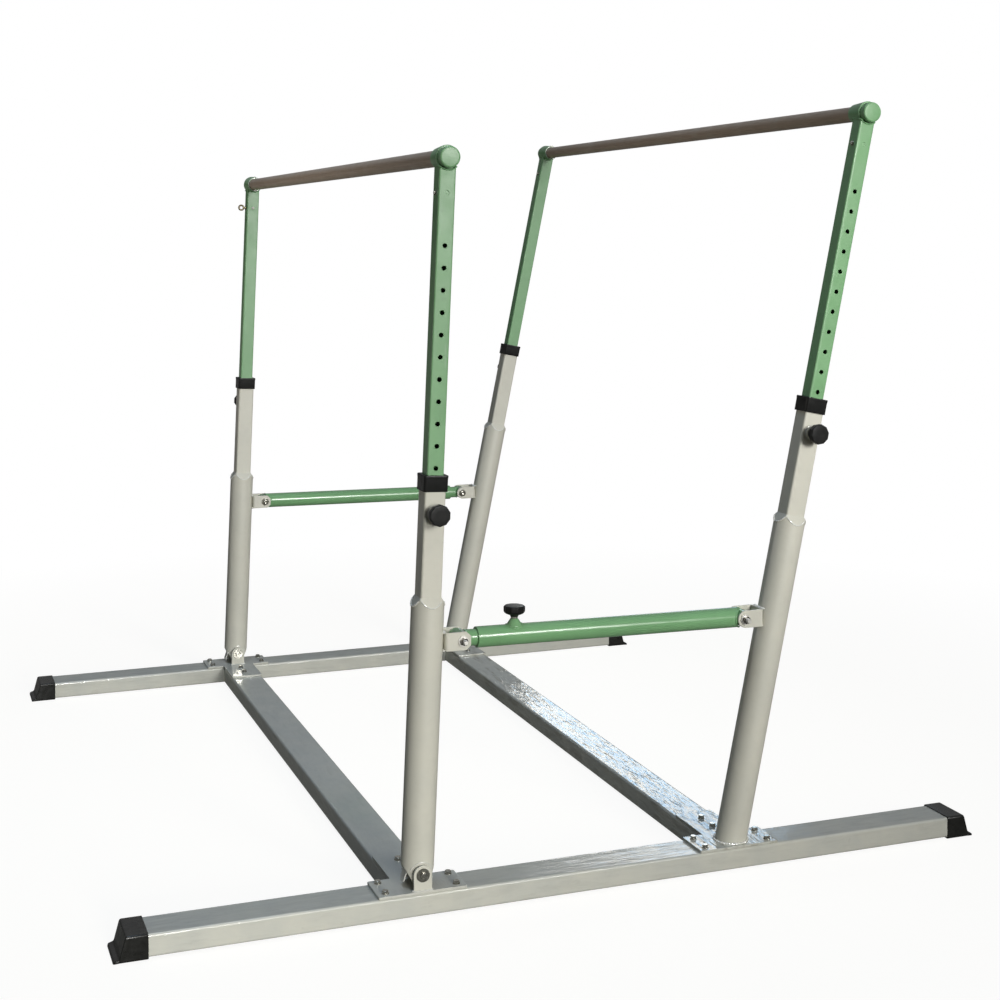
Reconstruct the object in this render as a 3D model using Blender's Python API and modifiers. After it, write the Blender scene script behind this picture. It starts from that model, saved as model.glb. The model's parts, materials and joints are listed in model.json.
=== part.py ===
import math

import bmesh
import bpy
from mathutils import Matrix

# Metres throughout. +X runs along the floor rails, +Y away from the front rail, +Z up.
# The caps stand on z = 0 and the frame is centred on the origin.

# Air left between pieces that touch, rest on or pass through each other, and around turning pins
GAP = 0.0003
TURNING_GAP = 0.0005

# Floor rails and beams: rectangular tube laid flat
TUBE_WIDTH = 0.100
TUBE_HEIGHT = 0.050
TUBE_WALL = 0.0025
TUBE_CORNER = 0.006
RAIL_Y = 1.050
RAIL_SHOWN = 1.000
BEAM_X = 0.399
LADDER_X = 0.010

# Rubber caps on the rail ends
CAP_FLOOR = 0.004
CAP_WALL = 0.0023
CAP_GRIP = 0.040
CAP_TOP = 0.048
CAP_SLOPE = 0.055
CAP_FLANGE = 0.076
CAP_FLANGE_RISE = 0.006

# T-shaped base plates and their bolts, measured from the middle of the crossbar
PLATE_LENGTH = 0.208
PLATE_THICKNESS = 0.006
PLATE_REACH = 0.200
PLATE_CORNER = 0.004
BOLT_X = 0.084
BOLT_Y = 0.031
STEM_BOLTS = (0.092, 0.153)
BOLT_RADIUS = 0.004
BOLT_FLATS = 0.013
BOLT_HEAD = 0.0055
STRIP_WIDTH = 0.020
STRIP_THICKNESS = 0.004
STRIP_OVERHANG = 0.010

# Posts: a round tube below, drawn in to a square tube above
ROUND_RADIUS = 0.038
ROUND_WALL = 0.003
SQUARE = 0.050
SQUARE_WALL = 0.0025
SQUARE_CORNER = 0.005
SHOULDER_DROP = 0.022
SHOULDER_BURIED = 0.0035
COLLAR_BELOW_HOLE = 0.015
COLLAR_HEIGHT = 0.037
COLLAR_WIDTH = 0.0575
COLLAR_FLARE = 0.001
COLLAR_LIP = 0.005

# Hinge at the foot of each left post
HINGE_HEIGHT = 0.092
HINGE_TAIL = 0.028
HINGE_RADIUS = 0.006
HINGE_WASHER = 0.0155
FOOT_EAR_WIDTH = 0.043
FOOT_EAR_INNER = 0.040
FOOT_EAR_THICKNESS = 0.0055

# Telescoping uprights with a row of pin holes
UPRIGHT = 0.040
UPRIGHT_WALL = 0.002
UPRIGHT_CORNER = 0.0035
HOLE_PITCH = 0.050
HOLE_RADIUS = 0.0055
HOLE_COUNT = 14
PIN_HOLE = 12
COLLAR_HOLE = 10
UPRIGHT_TAIL = 0.100
BAR_ABOVE_HOLE = 0.198
SIDE_BOLT_BELOW_BAR = 0.080
SIDE_BOLT_RADIUS = 0.003

# Bars, the sleeves that hold them and the sleeves' end caps
BAR_RADIUS = 0.019
BAR_WALL = 0.003
SLEEVE_OUTER = 0.0282
SLEEVE_INNER = 0.0240
SLEEVE_OUTBOARD = 0.015
SLEEVE_INBOARD = 0.040
SLEEVE_SEAT = 0.025
CAP_RADIUS = 0.0245
CAP_PROUD = 0.020
CAP_SPIGOT = 0.0085
BAR_PAST_POST = 0.005

# Knobs: lobed heads on a plain pin. The right rear post's is small: none shows past its edge
KNOB_RADIUS = 0.025
SMALL_KNOB_RADIUS = 0.0145
KNOB_LOBE = 0.0014
KNOB_LOBES = 8
KNOB_THICKNESS = 0.022
SMALL_KNOB_THICKNESS = 0.012
KNOB_BACK = 0.021
KNOB_NECK = 0.013
KNOB_BOSS = 0.016
KNOB_BOSS_HEIGHT = 0.008
PIN_RADIUS = 0.005
PIN_CLEAR = 0.0004

# Cross tubes between the posts
CROSS_OUTER = 0.024
CROSS_OUTER_WALL = 0.0025
CROSS_INNER = 0.019
CROSS_INNER_WALL = 0.0025
CROSS_STUB = 0.0395
CROSS_ENGAGED = 0.320
CROSS_MOUTH = 0.030
CROSS_START = 0.008
EYE_RADIUS = 0.019
EYE_HALF = 0.024
CLAMP_FROM_MOUTH = 0.094
CLAMP_BOSS_BASE = 0.019
CLAMP_BOSS_TOP = 0.0085
CLAMP_BOSS_HEIGHT = 0.013
CLAMP_PAD_GAP = 0.001
CLAMP_STEM = 0.0075
CLAMP_HEAD_GAP = 0.008

# Brackets on the posts that carry the cross tubes
BRACKET_INNER = 0.0247
BRACKET_THICKNESS = 0.0045
BRACKET_HEIGHT = 0.042
BRACKET_NOSE = 0.0185
BRACKET_WEB = 0.005
BRACKET_PIN = 0.006
BRACKET_WASHER = 0.012
WASHER_THICKNESS = 0.002
OPEN_PIN_HOLE = 0.0088

# Derived heights
RAIL_BOTTOM = CAP_FLOOR
RAIL_TOP = RAIL_BOTTOM + TUBE_HEIGHT
PLATE_TOP = RAIL_TOP + GAP + PLATE_THICKNESS
PLATE_MIDDLE = RAIL_TOP + GAP + PLATE_THICKNESS / 2

# Sides of the round pieces, by size
WIDE_STEPS = 24
MIDDLE_STEPS = 16
SMALL_STEPS = 10
TINY_STEPS = 6

# Each pair of posts: where it stands, how far it leans towards +X, its heights along the tube, and by
# how many hole pitches the square tube, collar and knob of its front and rear post stand taller
LEFT = {
    "name": "left", "x": LADDER_X - BEAM_X, "z": RAIL_BOTTOM + HINGE_HEIGHT, "lean": math.radians(2.7),
    "top_hole": 1.413, "shoulder": 0.622, "bracket_up": 0.522, "bracket_out": 0.079, "web_back": 0.0425,
    "towards": 1, "taller": {-1: 0, 1: 1},
}
RIGHT = {
    "name": "right", "x": LADDER_X + BEAM_X, "z": RAIL_TOP, "lean": math.radians(11.7),
    "top_hole": 1.614, "shoulder": 0.808, "bracket_up": 0.543, "bracket_out": -0.088, "web_back": 0.0495,
    "towards": -1, "taller": {-1: 0, 1: 0},
}
SIDES = {"front": -1, "rear": 1}

COLOURS = {
    "grey_paint": ((0.62, 0.62, 0.58), 0.38, 0.0),
    "green_paint": ((0.27, 0.50, 0.33), 0.34, 0.0),
    "zinc": ((0.66, 0.66, 0.64), 0.32, 1.0),
    "black_rubber": ((0.025, 0.026, 0.028), 0.62, 0.0),
    "black_plastic": ((0.03, 0.031, 0.03), 0.42, 0.0),
    "brown_bar": ((0.12, 0.085, 0.06), 0.55, 0.0),
    "brass": ((0.62, 0.47, 0.22), 0.35, 1.0),
}


def clear_scene():
    for old in list(bpy.data.objects):
        bpy.data.objects.remove(old)


def new_collection(name, hidden):
    collection = bpy.data.collections.new(name)
    bpy.context.scene.collection.children.link(collection)
    collection.hide_render = hidden
    return collection


def new_material(node, kind):
    colour, roughness, metallic = COLOURS[kind]
    material = bpy.data.materials.new(node)
    material.use_nodes = True
    shader = material.node_tree.nodes["Principled BSDF"]
    shader.inputs["Base Color"].default_value = (*colour, 1.0)
    shader.inputs["Roughness"].default_value = roughness
    shader.inputs["Metallic"].default_value = metallic
    material.diffuse_color = (*colour, 1.0)
    return material


clear_scene()
PARTS = new_collection("parallel_bars", False)
CUTTERS = new_collection("cutters", True)


def empty(name, location, lean=0.0, parent=None):
    frame = bpy.data.objects.new(name, None)
    frame.location = location
    frame.rotation_euler = (0.0, lean, 0.0)
    frame.empty_display_size = 0.05
    frame.parent = parent
    PARTS.objects.link(frame)
    return frame


def place(name, mesh, frame, location, rotation, kind):
    # A piece with a finish is a part; one without is a tool for another piece
    obj = bpy.data.objects.new(name, mesh)
    obj.parent = frame
    obj.location = location
    obj.rotation_euler = rotation
    if kind:
        mesh.materials.append(new_material(name, kind))
        PARTS.objects.link(obj)
    else:
        obj.hide_render = True
        obj.display_type = "WIRE"
        CUTTERS.objects.link(obj)
    return obj


def combine(obj, tool, operation, solver="EXACT"):
    modifier = obj.modifiers.new(operation.lower(), "BOOLEAN")
    modifier.operation = operation
    modifier.solver = solver
    modifier.object = tool


def smooth(mesh, angle=35.0):
    mesh.shade_smooth()
    mesh.set_sharp_from_angle(angle=math.radians(angle))


# Flat outlines

def circle(radius, steps, x=0.0, y=0.0):
    # Starts on +Y, as the rods that go through it do
    turns = [2 * math.pi * i / steps for i in range(steps)]
    return [(x + radius * math.sin(a), y + radius * math.cos(a)) for a in turns]


def arc(radius, start, end, steps, x=0.0, y=0.0):
    turns = [math.radians(start + (end - start) * i / steps) for i in range(steps + 1)]
    return [(x + radius * math.cos(a), y + radius * math.sin(a)) for a in turns]


def rounded_box(width, height, radius, steps=2):
    across = width / 2 - radius
    up = height / 2 - radius
    corners = ((across, up, 0), (-across, up, 90), (-across, -up, 180), (across, -up, 270))
    loop = []
    for x, y, start in corners:
        loop += arc(radius, start, start + 90, steps, x, y)
    return loop


def outline_mesh(loops, thickness):
    # The first loop is the edge and the others are holes; the plate is centred on its own plane
    curve = bpy.data.curves.new("outline", "CURVE")
    curve.dimensions = "2D"
    curve.fill_mode = "BOTH"
    curve.extrude = thickness / 2
    for loop in loops:
        spline = curve.splines.new("POLY")
        spline.points.add(len(loop) - 1)
        for point, (x, y) in zip(spline.points, loop):
            point.co = (x, y, 0.0, 1.0)
        spline.use_cyclic_u = True
    obj = bpy.data.objects.new("outline", curve)
    bpy.context.scene.collection.objects.link(obj)
    depsgraph = bpy.context.evaluated_depsgraph_get()
    mesh = bpy.data.meshes.new_from_object(obj.evaluated_get(depsgraph))
    bpy.data.objects.remove(obj)
    weld = bmesh.new()
    weld.from_mesh(mesh)
    bmesh.ops.remove_doubles(weld, verts=weld.verts, dist=1e-6)
    bmesh.ops.recalc_face_normals(weld, faces=weld.faces)
    weld.to_mesh(mesh)
    weld.free()
    return mesh


ALONG = {
    "X": Matrix(((0, 0, 1, 0), (1, 0, 0, 0), (0, 1, 0, 0), (0, 0, 0, 1))),
    "Y": Matrix(((1, 0, 0, 0), (0, 0, -1, 0), (0, 1, 0, 0), (0, 0, 0, 1))),
    "Z": Matrix.Identity(4),
}


def outline(name, loops, thickness, axis, frame, location, kind=None):
    mesh = outline_mesh(loops, thickness)
    mesh.transform(ALONG[axis])
    smooth(mesh)
    return place(name, mesh, frame, location, (0.0, 0.0, 0.0), kind)


def paired_outline(name, loops, thickness, spacing, axis, frame, location):
    # Two equal plates, one each side of the middle, as one tool
    pair = bmesh.new()
    for sign in (-1, 1):
        mesh = outline_mesh(loops, thickness)
        mesh.transform(ALONG[axis] @ Matrix.Translation((0.0, 0.0, sign * spacing)))
        pair.from_mesh(mesh)
    mesh = bpy.data.meshes.new(name)
    pair.to_mesh(mesh)
    pair.free()
    return place(name, mesh, frame, location, (0.0, 0.0, 0.0), None)


# Turned shapes: (radius, height) from the top down the outer side; a tube also comes back up its bore

def turned(name, profile, steps, frame, location, rotation=(0.0, 0.0, 0.0), kind=None, tube=False):
    points = [(r, 0.0, z) for r, z in profile]
    edges = [(i, i + 1) for i in range(len(points) - 1)]
    if tube:
        edges.append((len(points) - 1, 0))
    mesh = bpy.data.meshes.new(name)
    mesh.from_pydata(points, edges, [])
    obj = place(name, mesh, frame, location, rotation, kind)
    screw = obj.modifiers.new("turn", "SCREW")
    screw.axis = "Z"
    screw.angle = 2 * math.pi
    screw.steps = steps
    screw.render_steps = steps
    screw.use_merge_vertices = True
    screw.merge_threshold = 0.0001
    screw.use_smooth_shade = True
    return obj


def rod(radius, bottom, top):
    return [(0.0, top), (radius, top), (radius, bottom), (0.0, bottom)]


def pipe(outer, inner, bottom, top):
    return [(outer, top), (outer, bottom), (inner, bottom), (inner, top)]


def box_tool(name, size, frame, location):
    box = bmesh.new()
    bmesh.ops.create_cube(box, size=1.0, matrix=Matrix.Diagonal((*size, 1.0)))
    mesh = bpy.data.meshes.new(name)
    box.to_mesh(mesh)
    box.free()
    return place(name, mesh, frame, location, (0.0, 0.0, 0.0), None)


def pegs(name, places, radius, bottom, top, sides, frame, location=(0.0, 0.0, 0.0), rotation=(0.0, 0.0, 0.0)):
    # Upright rods or prisms at the given (x, y) places, as one tool
    group = bmesh.new()
    for x, y in places:
        at = Matrix.Translation((x, y, (bottom + top) / 2))
        bmesh.ops.create_cone(group, cap_ends=True, segments=sides, radius1=radius, radius2=radius,
                              depth=top - bottom, matrix=at)
    mesh = bpy.data.meshes.new(name)
    group.to_mesh(mesh)
    group.free()
    return place(name, mesh, frame, location, rotation, None)


def outboard(side):
    # Turns a piece so that its own +Z points away from the lane
    return (-side * math.pi / 2, 0.0, 0.0)


def across_flats(width):
    return width / 2 / math.cos(math.pi / 6)


# Floor frame

def box_tube(name, length, axis, location, kind):
    edge = rounded_box(TUBE_WIDTH, TUBE_HEIGHT, TUBE_CORNER)
    bore = rounded_box(TUBE_WIDTH - 2 * TUBE_WALL, TUBE_HEIGHT - 2 * TUBE_WALL, TUBE_CORNER - TUBE_WALL)
    return outline(name, [edge, bore], length, axis, None, location, kind)


def rail(place_name, side):
    middle = (0.0, side * RAIL_Y, RAIL_BOTTOM + TUBE_HEIGHT / 2)
    tube = box_tube(place_name + "_rail", 2 * (RAIL_SHOWN + CAP_GRIP), "X", middle, "grey_paint")
    places = [(x + i * BOLT_X, side * RAIL_Y + j * BOLT_Y)
              for x in (LEFT["x"], RIGHT["x"]) for i in (-1, 1) for j in (-1, 1)]
    holes = pegs(place_name + "_rail_holes", places, BOLT_RADIUS + GAP, RAIL_TOP - 0.01, RAIL_TOP + 0.01, TINY_STEPS, None)
    combine(tube, holes, "DIFFERENCE")


def beam(name, x):
    half = RAIL_Y - TUBE_WIDTH / 2 - GAP
    tube = box_tube(name + "_beam", 2 * half, "Y", (x, 0.0, RAIL_BOTTOM + TUBE_HEIGHT / 2), "grey_paint")
    places = [(x, side * (RAIL_Y - inward)) for side in (-1, 1) for inward in STEM_BOLTS]
    holes = pegs(name + "_beam_holes", places, BOLT_RADIUS + GAP, RAIL_TOP - 0.01, RAIL_TOP + 0.01, TINY_STEPS, None)
    combine(tube, holes, "DIFFERENCE")


def rail_cap(name, end, side):
    top = RAIL_TOP + GAP + CAP_WALL
    shape = [(0.0, top), (CAP_TOP, top), (CAP_SLOPE, 2 * CAP_FLANGE_RISE), (CAP_FLANGE, CAP_FLANGE_RISE),
             (CAP_FLANGE, 0.0), (0.0, 0.0)]
    shape = [(end * x, z) for x, z in shape]
    width = TUBE_WIDTH + 2 * (GAP + CAP_WALL)
    frame = empty(name + "_place", (end * RAIL_SHOWN, side * RAIL_Y, 0.0))
    cap = outline(name, [shape], width, "Y", frame, (0.0, 0.0, 0.0), "black_rubber")
    margin = 0.010
    depth = CAP_GRIP + GAP + margin
    pocket = [rounded_box(TUBE_WIDTH + 2 * GAP, TUBE_HEIGHT + 2 * GAP, TUBE_CORNER)]
    at = (end * (depth / 2 - margin), 0.0, RAIL_BOTTOM + TUBE_HEIGHT / 2)
    combine(cap, outline(name + "_pocket", pocket, depth, "X", frame, at), "DIFFERENCE")


def plate_loops(side, hole):
    half = PLATE_LENGTH / 2
    edge = TUBE_WIDTH / 2
    cut = PLATE_CORNER
    inward = -side
    corners = [(-half, -edge + cut), (-half + cut, -edge), (half - cut, -edge), (half, -edge + cut),
               (half, edge - cut), (half - cut, edge), (edge + cut, edge), (edge, edge + cut), (edge, PLATE_REACH - cut),
               (edge - cut, PLATE_REACH), (-edge + cut, PLATE_REACH), (-edge, PLATE_REACH - cut),
               (-edge, edge + cut), (-edge - cut, edge), (-half + cut, edge), (-half, edge - cut)]
    loops = [[(inward * x, inward * y) for x, y in corners]]
    places = [(i * BOLT_X, j * BOLT_Y) for i in (-1, 1) for j in (-1, 1)]
    places += [(0.0, inward * y) for y in STEM_BOLTS]
    loops += [circle(hole, TINY_STEPS, x, y) for x, y in places]
    return loops


def bolt_pair(name, frame, first, second):
    # Two hex bolts through plate and tube wall into one tapped strip inside the tube
    middle = ((first[0] + second[0]) / 2, (first[1] + second[1]) / 2)
    length = abs(second[1] - first[1]) + 2 * STRIP_OVERHANG
    strip_top = RAIL_TOP - TUBE_WALL - GAP
    at = (middle[0], middle[1], strip_top - STRIP_THICKNESS / 2)
    strip = outline(name, [rounded_box(STRIP_WIDTH, length, 0.002, 2)], STRIP_THICKNESS, "Z", frame, at, "zinc")
    head = PLATE_TOP + GAP
    shanks = pegs(name + "_shanks", [first, second], BOLT_RADIUS, strip_top - 0.002, head + 0.002, TINY_STEPS, frame)
    heads = pegs(name + "_heads", [first, second], across_flats(BOLT_FLATS), head, head + BOLT_HEAD, 6, frame)
    combine(strip, shanks, "UNION")
    combine(strip, heads, "UNION")


def plate_bolts(name, frame, side):
    for label, x in (("left", -BOLT_X), ("right", BOLT_X)):
        bolt_pair(name + "_bolts_" + label, frame, (x, -BOLT_Y), (x, BOLT_Y))
    near, far = STEM_BOLTS
    bolt_pair(name + "_bolts_stem", frame, (0.0, -side * near), (0.0, -side * far))


def plate_frame(post, label, side):
    return empty(post["name"] + "_" + label + "_base", (post["x"], side * RAIL_Y, 0.0))


# Posts

def post_frame(post, label, side):
    return empty(post["name"] + "_" + label + "_axis", (post["x"], side * RAIL_Y, post["z"]), post["lean"])


def collar_top(post, side):
    return post["top_hole"] - (COLLAR_HOLE - post["taller"][side]) * HOLE_PITCH - COLLAR_BELOW_HOLE


def pin_height(post, side):
    return post["top_hole"] - (PIN_HOLE - post["taller"][side]) * HOLE_PITCH


def bar_height(post):
    return post["top_hole"] + BAR_ABOVE_HOLE


def post_tube(name, post, frame, side, bottom):
    shoulder = post["shoulder"]
    top = collar_top(post, side) - COLLAR_LIP - GAP
    peak = shoulder + SHOULDER_BURIED
    floor = shoulder - SHOULDER_DROP
    bore = ROUND_RADIUS - ROUND_WALL
    profile = [(0.0, peak), (ROUND_RADIUS, peak), (ROUND_RADIUS, bottom), (bore, bottom), (bore, floor), (0.0, floor)]
    tube = turned(name, profile, WIDE_STEPS, frame, (0.0, 0.0, 0.0), kind="grey_paint")

    # Four slopes draw the round tube in to the square one
    slope = (ROUND_RADIUS - SQUARE / 2) / SHOULDER_DROP
    flare = 0.030
    corner = math.sqrt(2)
    narrow = (SQUARE / 2 - slope * SHOULDER_BURIED) * corner
    wide = narrow + slope * flare * corner
    profile = [(0.0, peak), (narrow, peak), (wide, peak - flare), (wide, bottom - flare), (0.0, bottom - flare)]
    roof = turned(name + "_slopes", profile, 4, frame, (0.0, 0.0, 0.0), (0.0, 0.0, math.pi / 4))
    combine(tube, roof, "INTERSECT")

    overlap = 0.010
    length = top - shoulder + overlap
    upper = outline(name + "_square", [rounded_box(SQUARE, SQUARE, SQUARE_CORNER, 3)], length, "Z", frame,
                    (0.0, 0.0, top - length / 2))
    combine(tube, upper, "UNION")

    inner = SQUARE - 2 * SQUARE_WALL
    length = top - shoulder + SHOULDER_DROP + 2 * overlap
    bore = outline(name + "_square_bore", [rounded_box(inner, inner, SQUARE_CORNER - SQUARE_WALL, 3)], length,
                   "Z", frame, (0.0, 0.0, top + overlap - length / 2))
    combine(tube, bore, "DIFFERENCE", "MANIFOLD")
    add_knob_boss(tube, name, post, frame, side)
    add_bracket(tube, name, post, frame)
    return tube


def add_knob_boss(tube, name, post, frame, side):
    at = (0.0, 0.0, pin_height(post, side))
    face = SQUARE / 2
    end = face + KNOB_BOSS_HEIGHT
    profile = pipe(KNOB_BOSS, KNOB_NECK + PIN_CLEAR, face - SQUARE_WALL / 2, end)
    boss = turned(name + "_boss", profile, MIDDLE_STEPS, frame, at, outboard(side), tube=True)
    combine(tube, boss, "UNION")
    drill = rod(PIN_RADIUS + PIN_CLEAR, face - 0.006, face + 0.006)
    combine(tube, turned(name + "_pin_hole", drill, SMALL_STEPS, frame, at, outboard(side)), "DIFFERENCE")


def bracket_frame(name, post, frame):
    # Level, with its origin on the pin
    return empty(name + "_bracket", (post["bracket_out"], 0.0, post["bracket_up"]), -post["lean"], frame)


def add_bracket(tube, name, post, frame):
    level = bracket_frame(name, post, frame)
    towards = post["towards"]
    back = post["web_back"]
    web = box_tool(name + "_web", (BRACKET_WEB, 2 * (BRACKET_INNER + BRACKET_THICKNESS - GAP), BRACKET_HEIGHT - 2 * GAP),
                   level, (towards * (BRACKET_WEB / 2 + GAP - back), 0.0, 0.0))
    combine(tube, web, "UNION")
    radius = BRACKET_HEIGHT / 2
    centre = BRACKET_NOSE - radius
    edge = [(-back, radius), (-back, -radius)] + arc(radius, -90, 90, 8, centre, 0.0)
    loops = [[(towards * x, z) for x, z in edge], circle(BRACKET_PIN + TURNING_GAP, SMALL_STEPS)]
    ears = paired_outline(name + "_ears", loops, BRACKET_THICKNESS, BRACKET_INNER + BRACKET_THICKNESS / 2, "Y",
                          level, (0.0, 0.0, 0.0))
    combine(tube, ears, "UNION")


def left_post(label, side, frame):
    name = "left_" + label + "_post"
    tube = post_tube(name, LEFT, frame, side, -HINGE_TAIL)
    hole = turned(name + "_hinge_hole", rod(HINGE_RADIUS + TURNING_GAP, -0.060, 0.060), SMALL_STEPS, frame, (0.0, 0.0, 0.0), outboard(side))
    combine(tube, hole, "DIFFERENCE")


def right_post(label, side, frame, base):
    name = "right_" + label + "_post"
    tube = post_tube(name, RIGHT, frame, side, -0.010)
    depth = 0.060
    below = box_tool(name + "_trim", (0.15, 0.15, depth), base, (0.0, 0.0, PLATE_MIDDLE - depth / 2))
    combine(tube, below, "DIFFERENCE")
    plate = outline(name + "_plate", plate_loops(side, BOLT_RADIUS + GAP), PLATE_THICKNESS, "Z", base,
                    (0.0, 0.0, PLATE_MIDDLE))
    combine(tube, plate, "UNION")


def left_base(label, side, base):
    name = "left_" + label + "_foot"
    plate = outline(name, plate_loops(side, BOLT_RADIUS + GAP), PLATE_THICKNESS, "Z", base,
                    (0.0, 0.0, PLATE_MIDDLE), "grey_paint")
    half = FOOT_EAR_WIDTH / 2
    drop = LEFT["z"] - PLATE_MIDDLE
    edge = arc(half, 0, 180, 10) + [(-half, -drop), (half, -drop)]
    ears = paired_outline(name + "_ears", [edge, circle(HINGE_RADIUS + TURNING_GAP, SMALL_STEPS)], FOOT_EAR_THICKNESS,
                          FOOT_EAR_INNER + FOOT_EAR_THICKNESS / 2, "Y", base, (0.0, 0.0, LEFT["z"]))
    combine(plate, ears, "UNION", "EXACT" if side < 0 else "MANIFOLD")


def cross_bolt(name, frame, side, shank, washer, seat, flats):
    # A bolt through two ears, with a washer and a hex at each end
    face = seat + GAP
    end = face + WASHER_THICKNESS
    profile = [(0.0, end), (washer, end), (washer, face), (shank, face), (shank, -face), (washer, -face),
               (washer, -end), (0.0, -end)]
    bolt = turned(name, profile, SMALL_STEPS, frame, (0.0, 0.0, 0.0), outboard(side), "zinc")
    height = flats * 0.55
    group = bmesh.new()
    for sign in (-1, 1):
        at = Matrix.Translation((0.0, 0.0, sign * (end + height / 2 - 0.0005)))
        bmesh.ops.create_cone(group, cap_ends=True, segments=6, radius1=across_flats(flats),
                              radius2=across_flats(flats), depth=height, matrix=at)
    mesh = bpy.data.meshes.new(name + "_hexes")
    group.to_mesh(mesh)
    group.free()
    combine(bolt, place(name + "_hexes", mesh, frame, (0.0, 0.0, 0.0), outboard(side), None), "UNION")


def collar(name, post, frame, side):
    top = collar_top(post, side)
    lower_top = top - COLLAR_LIP + 0.001
    lower_height = COLLAR_HEIGHT - COLLAR_LIP + 0.001
    lower = [rounded_box(COLLAR_WIDTH, COLLAR_WIDTH, 0.006), rounded_box(SQUARE + 2 * GAP, SQUARE + 2 * GAP, SQUARE_CORNER)]
    ring = outline(name, lower, lower_height, "Z", frame, (0.0, 0.0, lower_top - lower_height / 2), "black_plastic")
    wide = COLLAR_WIDTH + COLLAR_FLARE
    snug = UPRIGHT + 2 * GAP
    upper = [rounded_box(wide, wide, 0.006), rounded_box(snug, snug, UPRIGHT_CORNER)]
    lip = outline(name + "_lip", upper, COLLAR_LIP, "Z", frame, (0.0, 0.0, top - COLLAR_LIP / 2))
    combine(ring, lip, "UNION")


# Uprights and bars

def upright(name, post, frame, side):
    bar = bar_height(post)
    bottom = post["top_hole"] - (HOLE_COUNT - 1) * HOLE_PITCH - UPRIGHT_TAIL
    top = bar - SLEEVE_SEAT
    inner = UPRIGHT - 2 * UPRIGHT_WALL
    loops = [rounded_box(UPRIGHT, UPRIGHT, UPRIGHT_CORNER), rounded_box(inner, inner, UPRIGHT_CORNER - UPRIGHT_WALL)]
    tube = outline(name, loops, top - bottom, "Z", frame, (0.0, 0.0, (top + bottom) / 2), "green_paint")
    bore = BAR_RADIUS + GAP
    profile = [(SLEEVE_OUTER, SLEEVE_OUTBOARD), (SLEEVE_INNER, -SLEEVE_INBOARD), (bore, -SLEEVE_INBOARD),
               (bore, SLEEVE_OUTBOARD)]
    sleeve = turned(name + "_sleeve", profile, WIDE_STEPS, frame, (0.0, 0.0, bar), outboard(side), tube=True)
    combine(tube, sleeve, "UNION")
    face = UPRIGHT / 2
    places = [(0.0, post["top_hole"] - i * HOLE_PITCH) for i in range(HOLE_COUNT)]
    places = [(x, -side * z) for x, z in places]
    holes = pegs(name + "_holes", places, HOLE_RADIUS, face - 0.005, face + 0.005, SMALL_STEPS, frame,
                 rotation=outboard(side))
    combine(tube, holes, "DIFFERENCE")
    height = bar - SIDE_BOLT_BELOW_BAR
    hole = turned(name + "_side_hole", rod(SIDE_BOLT_RADIUS + GAP, face - 0.005, face + 0.005), TINY_STEPS, frame,
                  (0.0, 0.0, height), (0.0, -math.pi / 2, 0.0))
    combine(tube, hole, "DIFFERENCE")


def sleeve_cap(name, post, frame, side):
    start = SLEEVE_OUTBOARD + GAP
    end = SLEEVE_OUTBOARD + CAP_PROUD
    edge = 0.004
    profile = [(0.0, end)] + [(CAP_RADIUS - edge + x, end - edge + z) for z, x in
                              [(y, x) for x, y in reversed(arc(edge, 0, 90, 2))]]
    spigot = BAR_RADIUS - GAP
    profile += [(CAP_RADIUS, start), (spigot, start), (spigot, start - CAP_SPIGOT), (0.0, start - CAP_SPIGOT)]
    turned(name, profile, MIDDLE_STEPS, frame, (0.0, 0.0, bar_height(post)), outboard(side), "green_paint")


def bar(name, post):
    half = RAIL_Y + BAR_PAST_POST
    lean = post["lean"]
    height = bar_height(post)
    frame = empty(name + "_axis", (post["x"] + height * math.sin(lean), 0.0, post["z"] + height * math.cos(lean)))
    turned(name, pipe(BAR_RADIUS, BAR_RADIUS - BAR_WALL, -half, half), WIDE_STEPS, frame, (0.0, 0.0, 0.0), outboard(1),
           "brown_bar", tube=True)


def side_bolt(name, post, frame, flats, reach, kind):
    # Sits on the upright's -X face, a little below the bar
    face = UPRIGHT / 2 + GAP
    head = flats * 0.6
    profile = [(0.0, face + reach), (SIDE_BOLT_RADIUS, face + reach), (SIDE_BOLT_RADIUS, face - 0.010),
               (0.0, face - 0.010)]
    at = (0.0, 0.0, bar_height(post) - SIDE_BOLT_BELOW_BAR)
    turn = (0.0, -math.pi / 2, 0.0)
    bolt = turned(name, profile, TINY_STEPS, frame, at, turn, kind)
    hexagon = pegs(name + "_hex", [(0.0, 0.0)], across_flats(flats), face, face + head, 6, frame, at, turn)
    combine(bolt, hexagon, "UNION")


# Knobs

def knob_loop(radius):
    steps = KNOB_LOBES * 3
    turns = [2 * math.pi * i / steps for i in range(steps)]
    radii = [radius - KNOB_LOBE + KNOB_LOBE * math.cos(KNOB_LOBES * a) for a in turns]
    return [(r * math.cos(a), r * math.sin(a)) for r, a in zip(radii, turns)]


def knob(name, profile, head_back, frame, location, rotation, small=False):
    radius = SMALL_KNOB_RADIUS if small else KNOB_RADIUS
    thickness = SMALL_KNOB_THICKNESS if small else KNOB_THICKNESS
    stem = turned(name, profile, SMALL_STEPS, frame, location, rotation, "black_plastic")
    mesh = outline_mesh([knob_loop(radius)], thickness)
    mesh.transform(Matrix.Translation((0.0, 0.0, head_back + thickness / 2)))
    combine(stem, place(name + "_head", mesh, frame, location, rotation, None), "UNION")


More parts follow.
